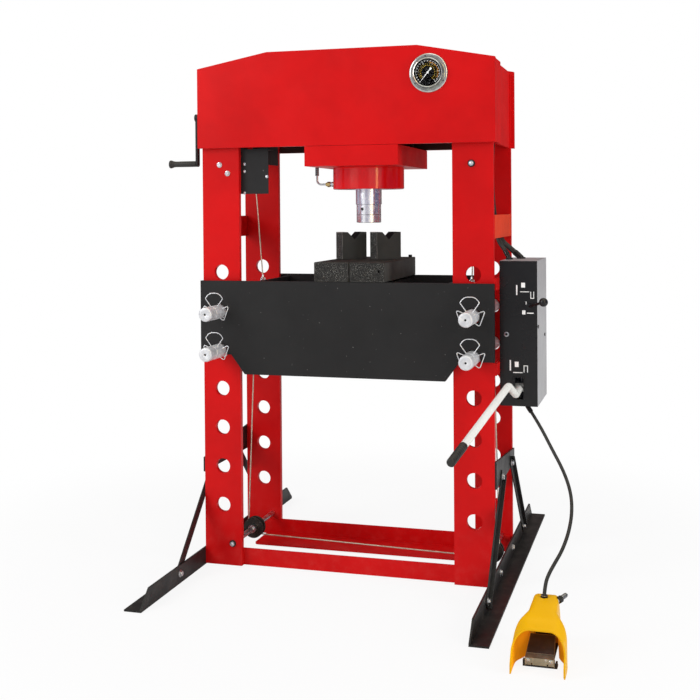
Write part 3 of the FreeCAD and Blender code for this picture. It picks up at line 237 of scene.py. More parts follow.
# %% World
MIRRORED = [  # what polished metal sees round the press, from the back by the left side and the front
    (0.000, (0.12, 0.08, 0.09)), (0.150, (0.14, 0.11, 0.13)), (0.180, (0.34, 0.33, 0.44)),
    (0.360, (0.38, 0.37, 0.48)), (0.385, (1.0, 1.0, 1.0)), (0.437, (1.0, 1.0, 1.0)),
    (0.456, (0.40, 0.39, 0.48)), (0.535, (0.46, 0.45, 0.52)), (0.556, (1.0, 1.0, 1.0)),
    (0.604, (1.0, 1.0, 1.0)), (0.611, (9.0, 6.4, 3.0)), (0.620, (9.0, 6.4, 3.0)),
    (0.628, (1.0, 1.0, 1.0)), (0.650, (0.9, 0.9, 0.95)), (0.668, (0.06, 0.07, 0.17)),
    (0.850, (0.09, 0.10, 0.22)), (0.880, (0.13, 0.07, 0.07)), (1.000, (0.12, 0.06, 0.06))]
OVERHEAD, EVEN_LIGHT, PAPER = (0.92, 0.89, 0.70), 0.62, (1.0, 1.0, 1.0, 1)
world = bpy.data.worlds.new("studio")
world.use_nodes = True
bpy.context.scene.world = world
world.node_tree.nodes.clear()
studio = Nodes(world.node_tree)
way = studio.add("ShaderNodeTexCoord", out="Generated")
x, y, z = [studio.add("ShaderNodeSeparateXYZ", None, way, out=letter) for letter in "XYZ"]
round_about = x.math("ARCTAN2", 0 - y) / (2 * math.pi) + 0.5
stops = [(at, colour(shade)) for at, shade in MIRRORED]
walls = studio.add("ShaderNodeValToRGB", {"stops": stops}, round_about)
mirrored = studio.mix(studio.step(z, 0.50, 0.85), walls, OVERHEAD)
even, metal_sees, white_paper = [studio.add("ShaderNodeBackground", None, *light)
                                 for light in ((PAPER, EVEN_LIGHT), (mirrored, 1.0), (PAPER, 1.0))]
lit = studio.add("ShaderNodeMixShader", None, studio.ray("Glossy"), even, metal_sees)
looked_at = studio.ray("Camera") + studio.ray("Transmission")
sky = studio.add("ShaderNodeMixShader", None, looked_at, lit, white_paper)
studio.feed(studio.tree.nodes.new("ShaderNodeOutputWorld").inputs["Surface"], sky)
print("world with", len(MIRRORED), "shades round the press")

# %% Floor and lamps
FLOOR_REACH, SHADOW_SHARE = 14.0, 0.13
bpy.ops.mesh.primitive_circle_add(vertices=96, radius=FLOOR_REACH, fill_type="NGON")
floor = bpy.context.object
floor.name = "floor"
pale = Finish("pale_floor", roughness=0.9, base_color=(0.86, 0.86, 0.86, 1))
far_off = pale.add("ShaderNodeVectorMath", {"operation": "LENGTH"}, pale.place(), out="Value")
glow = pale.add("ShaderNodeEmission", None, PAPER, 1.0)
share = pale.ray("Camera") * (1 - SHADOW_SHARE + SHADOW_SHARE * pale.step(far_off, 1.0, 2.2))
blend = pale.add("ShaderNodeMixShader", None, share, Value(pale, pale.shader.outputs["BSDF"]), glow)
pale.feed(pale.tree.nodes["Material Output"].inputs["Surface"], blend)
floor.data.materials.append(pale.material)


def panel(name, place, aim, size, power):
    lamp = bpy.data.lights.new(name, "AREA")
    lamp.shape, lamp.size, lamp.size_y, lamp.energy = "RECTANGLE", *size, power
    holder = shown(name, lamp)
    holder.location = place
    holder.rotation_euler = (Vector(aim) - Vector(place)).to_track_quat("-Z", "Y").to_euler()
    print(name, "light of", power, "W")
    return holder


panel("key", (-3.2, -3.1, 3.0), (0, 0, 0.9), (1.6, 2.4), 84)
panel("fill", (4.2, -1.3, 2.0), (0, 0, 0.9), (1.2, 2.4), 66).visible_glossy = False
panel("top", (0.5, -0.6, 4.2), (0, 0, 1.0), (2.6, 2.0), 16)

# %% [markdown]
# ## Painted steel
# The frame is thick sheet and bar, sprayed in one gloss red. Sprayed paint is never quite
# smooth: it has a fine orange peel, faint clouds of thickness, and a little dust low down.
# The inside of the crown is painted dark brown for the shade in it: painted shade. A lighter
# red on the turned barrel and an orange red on one bracket are painted light.

# %% Paints
def paint(name, shade, rough, peel=0.00012, cloud=0.10, dust=0.0, flake=0.0, sheen=0.2, shaded_within=None,
          **fixed):
    """Sprayed paint. Within the given distance of the middle of the press it is dark brown painted shade."""
    finish = Finish(name, specular_ior_level=sheen, **fixed)
    base = finish.mix(finish.patches(3.2, 4, 0.6, 0.3, 0.7), times(shade, 1 - cloud),
                      tuple(min(1, c * (1 + cloud)) for c in shade))
    # painted shade: dark brown near the middle of the press
    if shaded_within:
        base = finish.mix(finish.axis("X").math("ABSOLUTE") < shaded_within, base, (0.035, 0.012, 0.010))
    if dust:
        low_down = (1 - finish.step(finish.axis("Z"), 0.0, 0.35)) * finish.patches(26, 5, 0.7, 0.42, 0.75)
        base = finish.mix(low_down * dust, base, (0.42, 0.36, 0.31))
    if flake:
        base = finish.mix(finish.patches(95, 2, 0.5, 0.74, 0.77) * flake, base, (0.30, 0.28, 0.27))
    finish.bump(finish.noise(420, 2, 0.5) + 0.5 * finish.noise(90, 2, 0.5), peel)
    smear = finish.patches(7, 5, 0.65, 0.35, 0.75)
    return finish.set(base_color=base, roughness=rough + 0.16 * smear - 0.05)


RED = (0.62, 0.0042, 0.0050)
CROWN_INSIDE = 0.5165
red = paint("red_gloss_paint", RED, 0.36, dust=0.04, sheen=0.13)
# a lighter copy of the red on the barrel: painted light
red_turned_painted_light = paint("red_paint_on_turned_steel_painted_light", (0.86, 0.0058, 0.0070), 0.13, peel=0.00001, sheen=0.45)
# an orange red for one bracket face: painted highlight
red_painted_highlight = paint("red_painted_highlight_on_bracket", (0.74, 0.052, 0.014), 0.40, sheen=0.10)
# dark brown for the inside of the crown: painted shade
crown_inside_painted_shade = paint("brown_painted_shade_inside", RED, 0.6, sheen=0.1, shaded_within=CROWN_INSIDE)
black = paint("black_satin_paint", (0.017, 0.0165, 0.0165), 0.42, cloud=0.14, dust=0.06, flake=0.4,
              sheen=0.22)
gloss_black = paint("black_gloss_paint", (0.010, 0.010, 0.0105), 0.22, cloud=0.10, sheen=0.35)
grey = paint("grey_hammered_paint", (0.40, 0.40, 0.41), 0.40, peel=0.0003, cloud=0.05)
# the guard's inner faces glow: painted glow
yellow_painted_glow = paint("yellow_plastic_inside_painted_glow", (0.86, 0.42, 0.004), 0.45, cloud=0.04, sheen=0.1,
                    emission_strength=0.26, emission_color=(1.0, 0.33, 0.012, 1))
white = paint("white_gloss_paint", (0.80, 0.80, 0.76), 0.28, cloud=0.05, flake=0.6)
yellow = paint("yellow_moulded_plastic", (0.86, 0.455, 0.002), 0.36, cloud=0.04, sheen=0.15)
print(len(bpy.data.materials), "finishes with the paints")

# %% [markdown]
# ## Bare and plated metal
# Zinc plate on bolts is cloudy and slightly blue, hard chrome on the ram is a mirror with
# fine scratches round it, and the tooling is black-oxide steel that has been sawn, ground
# and knocked about. Polished metal keeps some plain colour of its own here, so that it
# doesn't turn black wherever it has nothing bright to mirror.

# %% Metals
def plated(name, shade, rough, cloud, scratch=0.0, lathe=(1, 1, 1), shine=1.0):
    """Bright metal. lathe stretches the fine marks along x, y or z."""
    finish = Finish(name, metallic=shine)
    cloudy = finish.patches(60, 4, 0.6, 0.35, 0.7)
    base = finish.mix(cloudy, times(shade, 1 - cloud), shade)
    if scratch:
        marks = finish.patches(240, 3, 0.6, 0.66, 0.72, (1, 0.06, 1))
        base = finish.mix(marks * scratch, base, times(shade, 0.4))
    finish.bump(finish.noise(700, 2, 0.5, lathe), 0.00004)
    return finish.set(base_color=base, roughness=rough + 0.18 * cloudy - 0.06)


zinc = plated("zinc_plate", (0.74, 0.76, 0.79), 0.30, 0.22)
pin_zinc = plated("pin_zinc", (0.84, 0.85, 0.87), 0.42, 0.16, scratch=0.5, shine=0.45)
chrome = plated("hard_chrome", (0.90, 0.91, 0.97), 0.17, 0.08, lathe=(1, 1, 14), shine=0.82)
ground = plated("ground_steel", (0.90, 0.91, 0.95), 0.20, 0.08, lathe=(1, 1, 20), shine=0.78)
rim_chrome = plated("rim_chrome", (0.62, 0.63, 0.59), 0.10, 0.25)
lip_steel = plated("tread_lip_steel", (0.42, 0.39, 0.28), 0.34, 0.3, scratch=0.5)
tread_steel = plated("tread_steel", (0.17, 0.165, 0.14), 0.55, 0.4, scratch=0.6, shine=0.15)
rope_steel = plated("galvanised_rope", (0.78, 0.72, 0.60), 0.38, 0.25)
brass = plated("brass", (0.83, 0.60, 0.24), 0.28, 0.15)
pump_iron = plated("machined_iron", (0.30, 0.31, 0.33), 0.42, 0.2)

# Rough black steel: scale, pale specks on the skin and rubbed scratches.
skin = Finish("black_oxide_steel", specular_ior_level=0.3)
scale = skin.patches(38, 6, 0.7, 0.32, 0.72)
specks = skin.patches(330, 3, 0.7, 0.60, 0.68) * skin.patches(30, 3, 0.6, 0.38, 0.60)
scratched = skin.patches(110, 4, 0.7, 0.68, 0.74, (0.3, 1, 0.14))
base = skin.mix(scale, (0.009, 0.0085, 0.0075), (0.032, 0.030, 0.026))
base = skin.mix(specks * 0.8, base, (0.30, 0.29, 0.26))
base = skin.mix(scratched * 0.6, base, (0.34, 0.33, 0.31))
skin.bump(scale + 0.6 * skin.noise(300, 3, 0.6), 0.0004)
iron = skin.set(base_color=base, roughness=0.62 - 0.22 * scratched, metallic=0.25 * scratched)
# a lighter copy for faces that look to the right: painted light
iron_painted_light_face = paint("black_oxide_face_painted_light", (0.052, 0.053, 0.049), 0.6, cloud=0.25, flake=0.35, sheen=0.15)
# near black for the flanks of the V: painted shade
iron_painted_shade_flank = paint("black_oxide_groove_painted_shade", (0.006, 0.006, 0.006), 0.6, cloud=0.3, sheen=0.1)


def sawn_steel(name, shade, edges, grain=380):
    """A sawn face with pale specks, rubbed bright along edges: (x, y, z) each, None for any."""
    finish = Finish(name, specular_ior_level=0.3)
    mottled = finish.patches(210, 5, 0.75, 0.42, 0.66)
    chalk = finish.patches(grain, 3, 0.7, 0.60, 0.64) * finish.patches(24, 3, 0.6, 0.36, 0.56)
    rubbed = 0
    for edge in edges:
        gap = sum((finish.axis(letter) - at) ** 2 for letter, at in zip("XYZ", edge) if at is not None)
        rubbed = (1 - finish.step(gap ** 0.5, 0.0008, 0.0030)).math("MAXIMUM", rubbed)
    rubbed = rubbed * finish.patches(85, 4, 0.7, 0.34, 0.52)
    base = finish.mix(mottled, times(shade, 0.22), shade)
    base = finish.mix(chalk * 0.85, base, (0.44, 0.43, 0.39))
    base = finish.mix(rubbed * 0.85, base, (0.42, 0.40, 0.36))
    finish.bump(mottled, 0.0004)
    return finish.set(base_color=base, roughness=0.66 - 0.2 * rubbed)


print(len(bpy.data.materials), "finishes with the metals")

# %% [markdown]
# ## Rubber, print and glass
# Moulded rubber and printed ink are dull and a little uneven. The gauge's glass is thin, so
# it hardly bends the light, and only its reflections show that it is there.

# %% Rubber, print and glass
def rubber_like(name, shade, rough, sheen=0.4, **fixed):
    finish = Finish(name, specular_ior_level=sheen, **fixed)
    cloudy = finish.patches(35, 4, 0.6, 0.35, 0.7)
    finish.bump(finish.noise(900, 2, 0.5), 0.00005)
    base = finish.mix(cloudy, shade, times(shade, 1.5))
    return finish.set(base_color=base, roughness=rough + 0.12 * cloudy)


rubber = rubber_like("black_rubber", (0.020, 0.020, 0.018), 0.48)
dial_black = rubber_like("dial_black", (0.005, 0.005, 0.0055), 0.6, 0.08)
# white print that also glows a little: painted glow
white_mark_painted_glow = rubber_like("white_mark_painted_glow", (0.62, 0.62, 0.60), 0.5, emission_strength=0.25)
mark_amber = rubber_like("mark_amber", (0.80, 0.52, 0.06), 0.5)
mark_orange = rubber_like("mark_orange", (0.85, 0.36, 0.04), 0.5)
tread_black = rubber_like("tread_black", (0.034, 0.034, 0.038), 0.42, 0.12)

glass = Finish("clear_glass", roughness=0.03, transmission_weight=1.0, ior=1.06)
tint = glass.mix(glass.patches(20, 2, 0.5, 0.4, 0.6), (0.96, 0.98, 0.98), (1.0, 1.0, 1.0))
glass_clear = glass.set(base_color=tint)
print(len(bpy.data.materials), "finishes with rubber, print and glass")

# %% [markdown]
# ## Which part wears what
# A press is painted before it is put together, so most parts are all of one finish. The
# table below names the parts that each finish goes on. Only the pedal's hose isn't in it,
# because the smooth curve above stands in for it.

# %% Paint every part
PINS = ["pin_%s_%s" % (row, side) for row in ("upper", "lower") for side in ("left", "right")]
V_BLOCKS, ARBORS = ("v_block_left", "v_block_right"), ("arbor_plate_left", "arbor_plate_right")
WEAR = {
    red: """column_front_left column_front_right column_rear_left column_rear_right side_plates
         crown_front_plate crown_rear_plate crown_stiffeners base_bars cylinder_carriage
         carriage_hanger""",
    red_turned_painted_light: "cylinder_barrel",
    black: """feet brace_brackets braces bed_front_plate bed_rear_plate bed_cross_members
           winch_frame crank_arm pedal_base""",
    gloss_black: "cabinet_panel cabinet_glands valve_lever",
    tread_steel: "treadle",
    grey: "cabinet_shell",
    zinc: "frame_bolts rope_eyes sheave_shafts cylinder_port pedal_valve",
    pin_zinc: " ".join(PINS),
    chrome: "piston_rod",
    ground: "ram_nose cylinder_gland",
    rim_chrome: "gauge_case",
    rope_steel: "lift_ropes",
    pump_iron: "pump_block pump_plunger winch_drum",
    iron: " ".join(ARBORS + V_BLOCKS) + " sheave_base_left sheave_base_right sheave_top_right",
    rubber: "pump_hoses cylinder_hose handle_grip crank_grip",
    dial_black: "gauge_dial",
    white_mark_painted_glow: "gauge_needle",
    glass_clear: "gauge_lens",
    white: "pump_handle",
    yellow: "pedal_hood",
}
dressed = set()
for material, names in WEAR.items():
    for name in names.split():
        nodes[name].data.materials.clear()
        nodes[name].data.materials.append(material)
        dressed.add(name)
hose.data.materials.append(rubber)
print("parts without a finish here:", sorted(set(nodes) - dressed))

# %% [markdown]
# ### Second finishes
# The inside of the crown is painted dark brown for its shade, and a bracket on the right gets a
# lighter orange red, a painted highlight. The tooling's faces are lighter or darker by which way
# they look, painted light and shade over the speckles of the saw, and feet wear the edge of a
# tread bright. Each takes a few faces of a part, chosen by where they are and which way they
# look, so the part's mesh stays as it came.

# %% Second finishes
LINK_FROM, LINK_TO = 1.15, 1.30


def refinish(name, material, chosen):
    """A second finish on the faces of one part for which chosen(face) holds."""
    mesh = nodes[name].data
    mesh.materials.append(material)
    faces = [face for face in mesh.polygons if chosen(face)]
    for face in faces:
        face.material_index = len(mesh.materials) - 1
    print(name, "has", material.name, "on", len(faces), "faces")


rear_wall, tread_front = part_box("crown_rear_plate")[0].y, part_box("treadle")[0].y
# the faces inside the crown take the dark brown painted shade
for name in ("crown_rear_plate", "crown_stiffeners", "carriage_hanger"):
    refinish(name, crown_inside_painted_shade, lambda face: face.center.y < rear_wall + 0.001)
refinish("crown_front_plate", crown_inside_painted_shade, lambda face: face.normal.y > 0.9)
refinish("side_plates", crown_inside_painted_shade, lambda face: abs(face.center.x) < CROWN_INSIDE and face.center.z > 1.5)
# painted highlight: orange red on the bracket's right face
refinish("side_plates", red_painted_highlight,
         lambda face: face.normal.x > 0.9 and face.center.x > 0.5 and LINK_FROM < face.center.z < LINK_TO)
for name in V_BLOCKS:
    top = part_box(name)[1].z
    foremost = min(nodes[name].data.vertices, key=lambda v: v.co.y).co
    # the left faces get a lighter sawn tone: painted light
    sawn = sawn_steel(name + "_sawn", (0.100, 0.100, 0.094),
                      [(foremost.x, foremost.y, None), (None, None, top)], 190)
    # painted light on the right front faces, painted shade on the flanks of the V
    refinish(name, iron_painted_light_face,
             lambda face: face.normal.y < -0.2 and face.normal.x > 0.1 and abs(face.normal.z) < 0.1)
    refinish(name, sawn, lambda face: face.normal.x < -0.4 and abs(face.normal.z) < 0.1)
    refinish(name, iron_painted_shade_flank, lambda face: 0.2 < face.normal.z < 0.9)
for name in ARBORS:
    low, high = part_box(name)
    sawn = sawn_steel(name + "_sawn", (0.037, 0.035, 0.032), [
        (None, low.y, high.z), (None, low.y, low.z), (low.x, low.y, None), (high.x, low.y, None)])
    refinish(name, sawn, lambda face: face.normal.y < -0.9)
    # painted light on the arbor's right face
    refinish(name, iron_painted_light_face, lambda face: face.normal.x > 0.9)
refinish("treadle", lip_steel, lambda face: face.center.y < tread_front + 0.0045)

# %% [markdown]
# ## Tools for the small parts
# Most fittings are turned, bent or swept, so three helpers cover them: one spins a profile
# round an axis, one sweeps a round section along a bent line, and one puts copies of a
# small part at many places with Geometry Nodes. The places are read from the model itself,
# by splitting a part into the separate solids that it holds.

# %% Solids of a part
def solids(node):
    """The (low, high) corners of each separate solid in a CAD part, largest first."""
    mesh = nodes[node].data
    key = [tuple(round(c, 5) for c in v.co) for v in mesh.vertices]
    parent = {}

    def root(k):
        while parent.setdefault(k, k) != k:
            parent[k] = parent[parent[k]]
            k = parent[k]
        return k

    for face in mesh.polygons:
        first = root(key[face.vertices[0]])
        for v in face.vertices[1:]:
            parent[root(key[v])] = first
    groups = {}
    for k in set(key):
        groups.setdefault(root(k), []).append(k)
    boxes = [tuple(Vector(end(k[i] for k in g) for i in range(3)) for end in (min, max))
             for g in groups.values()]
    print(node, "holds", len(boxes), "solids")
    return sorted(boxes, key=lambda b: (-round((b[1] - b[0]).length, 4), tuple(round(c, 4) for c in b[0])))


def middle(box):
    return (box[0] + box[1]) / 2


# %% [markdown]
# ### Finished pieces
# Every piece ends in the same way: a plain mesh whose place is in its own points, faces that
# look outward, a finish, smooth shading up to an angle, and the body that it rides on.

# %% Finished pieces
def mesh_of(name, shape, weld=False, change=None):
    """A mesh of (vertices, faces) whose faces all look outward. weld joins equal vertices."""
    mesh = bpy.data.meshes.new(name)
    mesh.from_pydata([tuple(v) for v in shape[0]], [], shape[1])
    work = bmesh.new()
    work.from_mesh(mesh)
    if weld:
        bmesh.ops.remove_doubles(work, verts=work.verts, dist=1e-6)
    bmesh.ops.recalc_face_normals(work, faces=work.faces)
    if change:
        change(work)
    work.to_mesh(mesh)
    work.free()
    return mesh


def dress(thing, body, sharp):
    """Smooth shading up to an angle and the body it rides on."""
    if sharp:
        thing.data.shade_smooth()
        thing.data.set_sharp_from_angle(angle=math.radians(sharp))
    if body:
        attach(thing, body)
    return thing


def piece(name, shape, material, body="frame", sharp=40):
    """A finished piece: its place is in its mesh, it has a material and it rides on a body."""
    mesh = mesh_of(name, shape, weld=True)
    mesh.materials.append(material)
    print(name, len(mesh.polygons), "faces")
    return dress(shown(name, mesh), body, sharp)


# %% [markdown]
# ### Turned and swept shapes
# A lathe turns a profile round a line, and a bender pushes rod or pipe round its corners.
# Both come out as rows of points with the same faces between them. Blender's Spin and curve
# bevels could do it too, but rows in plain Python can also be six-sided or lobed.

# %% Turned shapes
def frame_of(way):
    """Two directions square to way."""
    side = way.cross(Vector((0, 0, 1)))
    if side.length < 0.2:
        side = way.cross(Vector((0, 1, 0)))
    side.normalize()
    return side, way.cross(side)


def angles(steps):
    return [2 * math.pi * k / steps for k in range(steps)]


def tube_faces(rows, steps, closed=False):
    """Faces between rows of points, and the two ends unless the last row meets the first."""
    faces = []
    for k in range(rows if closed else rows - 1):
        a, b = k * steps, (k + 1) % rows * steps
        for j in range(steps):
            c = (j + 1) % steps
            faces.append((a + j, a + c, b + c, b + j))
    if not closed:
        faces += [tuple(reversed(range(steps))), tuple(range((rows - 1) * steps, rows * steps))]
    return faces


def turned(start, way, profile, steps=48, hexagon=()):
    """Spin (radius, distance) pairs round a line. Rows listed in hexagon are six-sided."""
    start, way = Vector(start), Vector(way).normalized()
    side, up = frame_of(way)
    verts = []
    for k, (radius, along) in enumerate(profile):
        for turn in angles(steps):
            reach = radius
            if k in hexagon:
                reach = radius / math.cos((turn + math.pi / 6) % (math.pi / 3) - math.pi / 6)
            verts.append(start + way * along + (side * math.cos(turn) + up * math.sin(turn)) * reach)
    return verts, tube_faces(len(profile), steps)


# %% Swept shapes
def rounded(points, radii):
    """A bent line with round corners, as many short steps."""
    points = [Vector(p) for p in points]
    line = [points[0]]
    for before, corner, after, radius in zip(points, points[1:], points[2:], radii):
        into, out = (corner - before).normalized(), (after - corner).normalized()
        half = into.angle(out) / 2
        reach = radius * math.tan(half)
        centre = corner + (out - into).normalized() * (radius / math.cos(half))
        start, end = corner - into * reach - centre, corner + out * reach - centre
        steps = max(3, int(math.degrees(2 * half) / 12))
        line += [centre + start.slerp(end, j / steps).normalized() * radius for j in range(steps + 1)]
    return line + [points[-1]]


def swept(line, radius, steps=10, closed=False, lobes=0, lobe=0.0, lay=1.0):
    """A tube along a line. With lobes it is a laid rope whose strands turn once in lay."""
    line = [Vector(p) for p in line]
    count = len(line)
    verts, travelled = [], 0.0
    heading = (line[1] - line[0]).normalized()
    side, up = frame_of(heading)
    for k in range(count):
        ahead = line[(k + 1) % count] if closed or k < count - 1 else line[k]
        behind = line[k - 1] if closed or k > 0 else line[k]
        new = (ahead - behind).normalized()
        turn = heading.rotation_difference(new)
        side, up, heading = turn @ side, turn @ up, new
        if k:
            travelled += (line[k] - line[k - 1]).length
        for angle in angles(steps):
            reach = radius
            if lobes:
                reach *= 1 + lobe * (abs(math.cos(lobes * angle / 2)) - 1)
                angle += 2 * math.pi * travelled / lay
            verts.append(line[k] + (side * math.cos(angle) + up * math.sin(angle)) * reach)
    return verts, tube_faces(count, steps, closed)


def joined(*parts):
    """Several (verts, faces) as one."""
    verts, faces = [], []
    for some_verts, some_faces in parts:
        shift = len(verts)
        verts += some_verts
        faces += [tuple(v + shift for v in face) for face in some_faces]
    return verts, faces


# %% Nuts and rounded rims
def hex_bar(start, way, half, height):
    """A hexagon nut or head: half is half its width across flats."""
    profile = [(half * 0.5, 0), (half, 0), (half, height * 0.82), (half * 0.95, height),
               (half * 0.5, height)]
    return turned(start, way, profile, 48, (1, 2))


def quarter(radius, height, steps=5):
    """(radius, distance) pairs of a rounded rim that ends flat at height."""
    return [(radius - height * (1 - math.cos(t)), height * math.sin(t))
            for t in (math.pi / 2 * k / steps for k in range(steps + 1))]


# %% [markdown]
# ### Copies with Geometry Nodes
# A press has dozens of equal screws, marks and ribs. Each set starts as a mesh of loose
# points. The tree turns a template to face each point's own direction, copies it there,
# makes the copies real and gives them a material.

# %% Copies at points
COPIES = bpy.data.node_groups.new("copies_at_points", "GeometryNodeTree")
INPUTS = {}
for label, kind in (("Points", "Geometry"), ("Template", "Object"), ("Size", "Float"),
                    ("Finish", "Material")):
    socket = COPIES.interface.new_socket(label, in_out="INPUT", socket_type="NodeSocket" + kind)
    INPUTS[label] = socket.identifier
COPIES.interface.new_socket("Copies", in_out="OUTPUT", socket_type="NodeSocketGeometry")
copier = Nodes(COPIES)
points, part, whole_size, finish = [copier.add("NodeGroupInput", out=label) for label in INPUTS]
way, spin, own_size = [
    copier.add("GeometryNodeInputNamedAttribute", {"data_type": kind}, label, out="Attribute")
    for label, kind in (("way", "FLOAT_VECTOR"), ("spin", "FLOAT"), ("size", "FLOAT"))]
facing = copier.add("FunctionNodeAlignRotationToVector", {"axis": "Z"}, Vector=way, out="Rotation")
about = copier.add("FunctionNodeAxisAngleToRotation", None, Axis=(0, 0, 1), Angle=spin, out="Rotation")
aimed = copier.add("FunctionNodeRotateRotation", {"rotation_space": "LOCAL"}, facing, about, out="Rotation")
placed = copier.add("GeometryNodeInstanceOnPoints", None, Points=points, Rotation=aimed,
                    Instance=copier.add("GeometryNodeObjectInfo", None, Object=part, out="Geometry"),
                    Scale=own_size * whole_size, out="Instances")
real = copier.add("GeometryNodeRealizeInstances", None, placed)
finished = copier.add("GeometryNodeSetMaterial", None, Geometry=real, Material=finish)
copier.feed(COPIES.nodes.new("NodeGroupOutput").inputs["Copies"], finished)
print(COPIES.name, "has", len(COPIES.nodes), "nodes")


def template(name, shape):
    """A small part at the origin that stands along +Z, kept out of the picture."""
    return bpy.data.objects.new(name, mesh_of(name, shape))


def standing(profile, steps=48, foot=0.0):
    return turned((0, 0, foot), UP, profile, steps)


def baked(holder):
    """The mesh that a text or a modifier makes. The holder itself goes."""
    mesh = bpy.data.meshes.new_from_object(holder.evaluated_get(bpy.context.evaluated_depsgraph_get()))
    bpy.data.objects.remove(holder)
    return mesh


def copies(name, part, places, material, body="frame", ways=FRONT, size=1.0, sizes=None, spins=None):
    """Copies of part at places, standing along ways (one or a list). Returns one plain mesh."""
    count = len(places)
    points = bpy.data.meshes.new(name + "_points")
    points.from_pydata([tuple(p) for p in places], [], [])
    ways = ways if isinstance(ways, list) else [ways] * count
    way = points.attributes.new("way", "FLOAT_VECTOR", "POINT")
    way.data.foreach_set("vector", [c for w in ways for c in Vector(w).normalized()])
    for label, values in (("spin", spins or [0.0] * count), ("size", sizes or [1.0] * count)):
        points.attributes.new(label, "FLOAT", "POINT").data.foreach_set("value", values)
    holder = shown(name + "_points", points)
    modifier = holder.modifiers.new("copies", "NODES")
    modifier.node_group = COPIES
    for label, value in (("Template", part), ("Size", size), ("Finish", material)):
        modifier[INPUTS[label]] = value
    mesh = baked(holder)
    mesh.name = name
    print(name, count, "copies,", len(mesh.polygons), "faces")
    return dress(shown(name, mesh), body, 35)


# %% [markdown]
# ## Bolts, nuts and screws
# A hexagon head is a six-sided bar whose corners are turned off by a cone, so its top face
# is a circle. Under each head sits a plain washer.

# %% Bolts
LEG_BAR = 0.0605  # how far inside the feet's outer face a bolt's inner nut begins
big_bolt = template("hexagon_bolt", joined(
    standing([(0.0125, 0), (0.0125, 0.0016), (0.0119, 0.002)]), hex_bar((0, 0, 0.002), UP, 0.0085, 0.0065)))
cap_screw = template("cap_screw", joined(
    standing([(0.0052, 0), (0.0052, 0.0006), (0.0045, 0.0008)], 24),
    standing([(0.0036, 0), (0.0036, 0.0012), (0.0028, 0.0022), (0.0018, 0.0025)], 24, 0.0008)))

big, ways, round_bolts, small_screws = [], [], [], []
for low, high in solids("frame_bolts"):  # hexagons lie along x, and the lock is wide and thin
    size, centre = high - low, (low + high) / 2
    if size.x < 0.012 and size.z > 0.016:
        inner_nut = abs(centre.x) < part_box("feet")[1].x - LEG_BAR
        facing = (1 if centre.x > 0 else -1) * (-1 if inner_nut else 1)
        big.append((low.x if facing > 0 else high.x, centre.y, centre.z))
        ways.append((facing, 0, 0))
    elif size.x > 0.0145 and size.y < 0.004:
        lock = middle((low, high))
    else:
        (round_bolts if size.y > 0.006 else small_screws).append((centre.x, high.y, centre.z))
bolts = copies("frame_hexagon_bolts", big_bolt, big, zinc, ways=ways,
               spins=[0.7 * k for k in range(len(big))])
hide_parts("frame_bolts")
copies("winch_fixing_bolts", big_bolt, round_bolts, zinc, size=0.78)
copies("winch_cover_screws", cap_screw, small_screws, zinc)

# %% [markdown]
# ## Sheave bolts
# Two of the rope wheels hang on a shaft that is bolted through the front of the column. On
# the real press these are dome-headed zinc bolts on a dark washer, so they show as a bright
# round spot inside a thin black ring.

# %% Sheave bolts
dome_head = template("dome_bolt", standing(quarter(0.0085, 0.006) + [(0.0010, 0.0068)], 32))
dark_washer = template("dark_washer", standing([(0.0125, 0), (0.0125, 0.0014), (0.0120, 0.0018)], 32))
front_bar_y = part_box("column_front_left")[0].y
outside = [middle(b) for b in solids("sheave_shafts") if b[1].y < front_bar_y + 0.001]
copies("sheave_bolt_washers", dark_washer, [(c.x, front_bar_y, c.z) for c in outside], black)
copies("sheave_bolt_heads", dome_head, [(c.x, front_bar_y - 0.0016, c.z) for c in outside], zinc)

# %% [markdown]
# ## Bed pins
# Four turned pins hold the bed. Each has a rounded head with a centre hole from the lathe, a
# groove, a rough-turned sleeve, and two sprung wire clips: a fan-shaped bail on top to pull
# it by, and a three-cornered clip across it. The clips are bent from thin rod, so each is
# one round section swept along a line with rounded corners.

# %% Bed pins
PIN_GROOVE, PIN_SLEEVE, PIN_EDGE, PIN_RIBS, WIRE_R = 0.052, 0.122, 0.007, 11, 0.0015
BAIL_BACK, CLIP_BACK = 0.084, 0.100


def pin_shape(front, length, radius):
    rows = [(0.0036, 0.014), (0.0040, 0.0008), (0.0052, 0.0)]
    rows += [(r, 0.0012 + PIN_EDGE - d) for r, d in reversed(quarter(radius, PIN_EDGE, 6))]
    rows += [(radius, PIN_GROOVE - 0.002), (radius - 0.0016, PIN_GROOVE - 0.001),
             (radius - 0.0016, PIN_GROOVE + 0.001), (radius, PIN_GROOVE + 0.002)]
    for k in range(PIN_RIBS):
        at = PIN_GROOVE + 0.006 + k * (PIN_SLEEVE - PIN_GROOVE - 0.008) / PIN_RIBS
        rows += [(radius, at), (radius - 0.0006, at + 0.0014), (radius, at + 0.0028)]
    rows += [(radius, PIN_SLEEVE), (radius - 0.0008, PIN_SLEEVE + 0.001), (radius - 0.0008, length - 0.006),
             (radius - 0.006, length)]
    return turned(front, (0, 1, 0), rows, 64)


def wire(middle_of, y, places, radii):
    """Thin rod bent in an upright plane. places are (x, z) from the middle."""
    line = [(middle_of.x + x, y, middle_of.z + z) for x, z in places]
    return swept(rounded(line, radii), WIRE_R, 8)


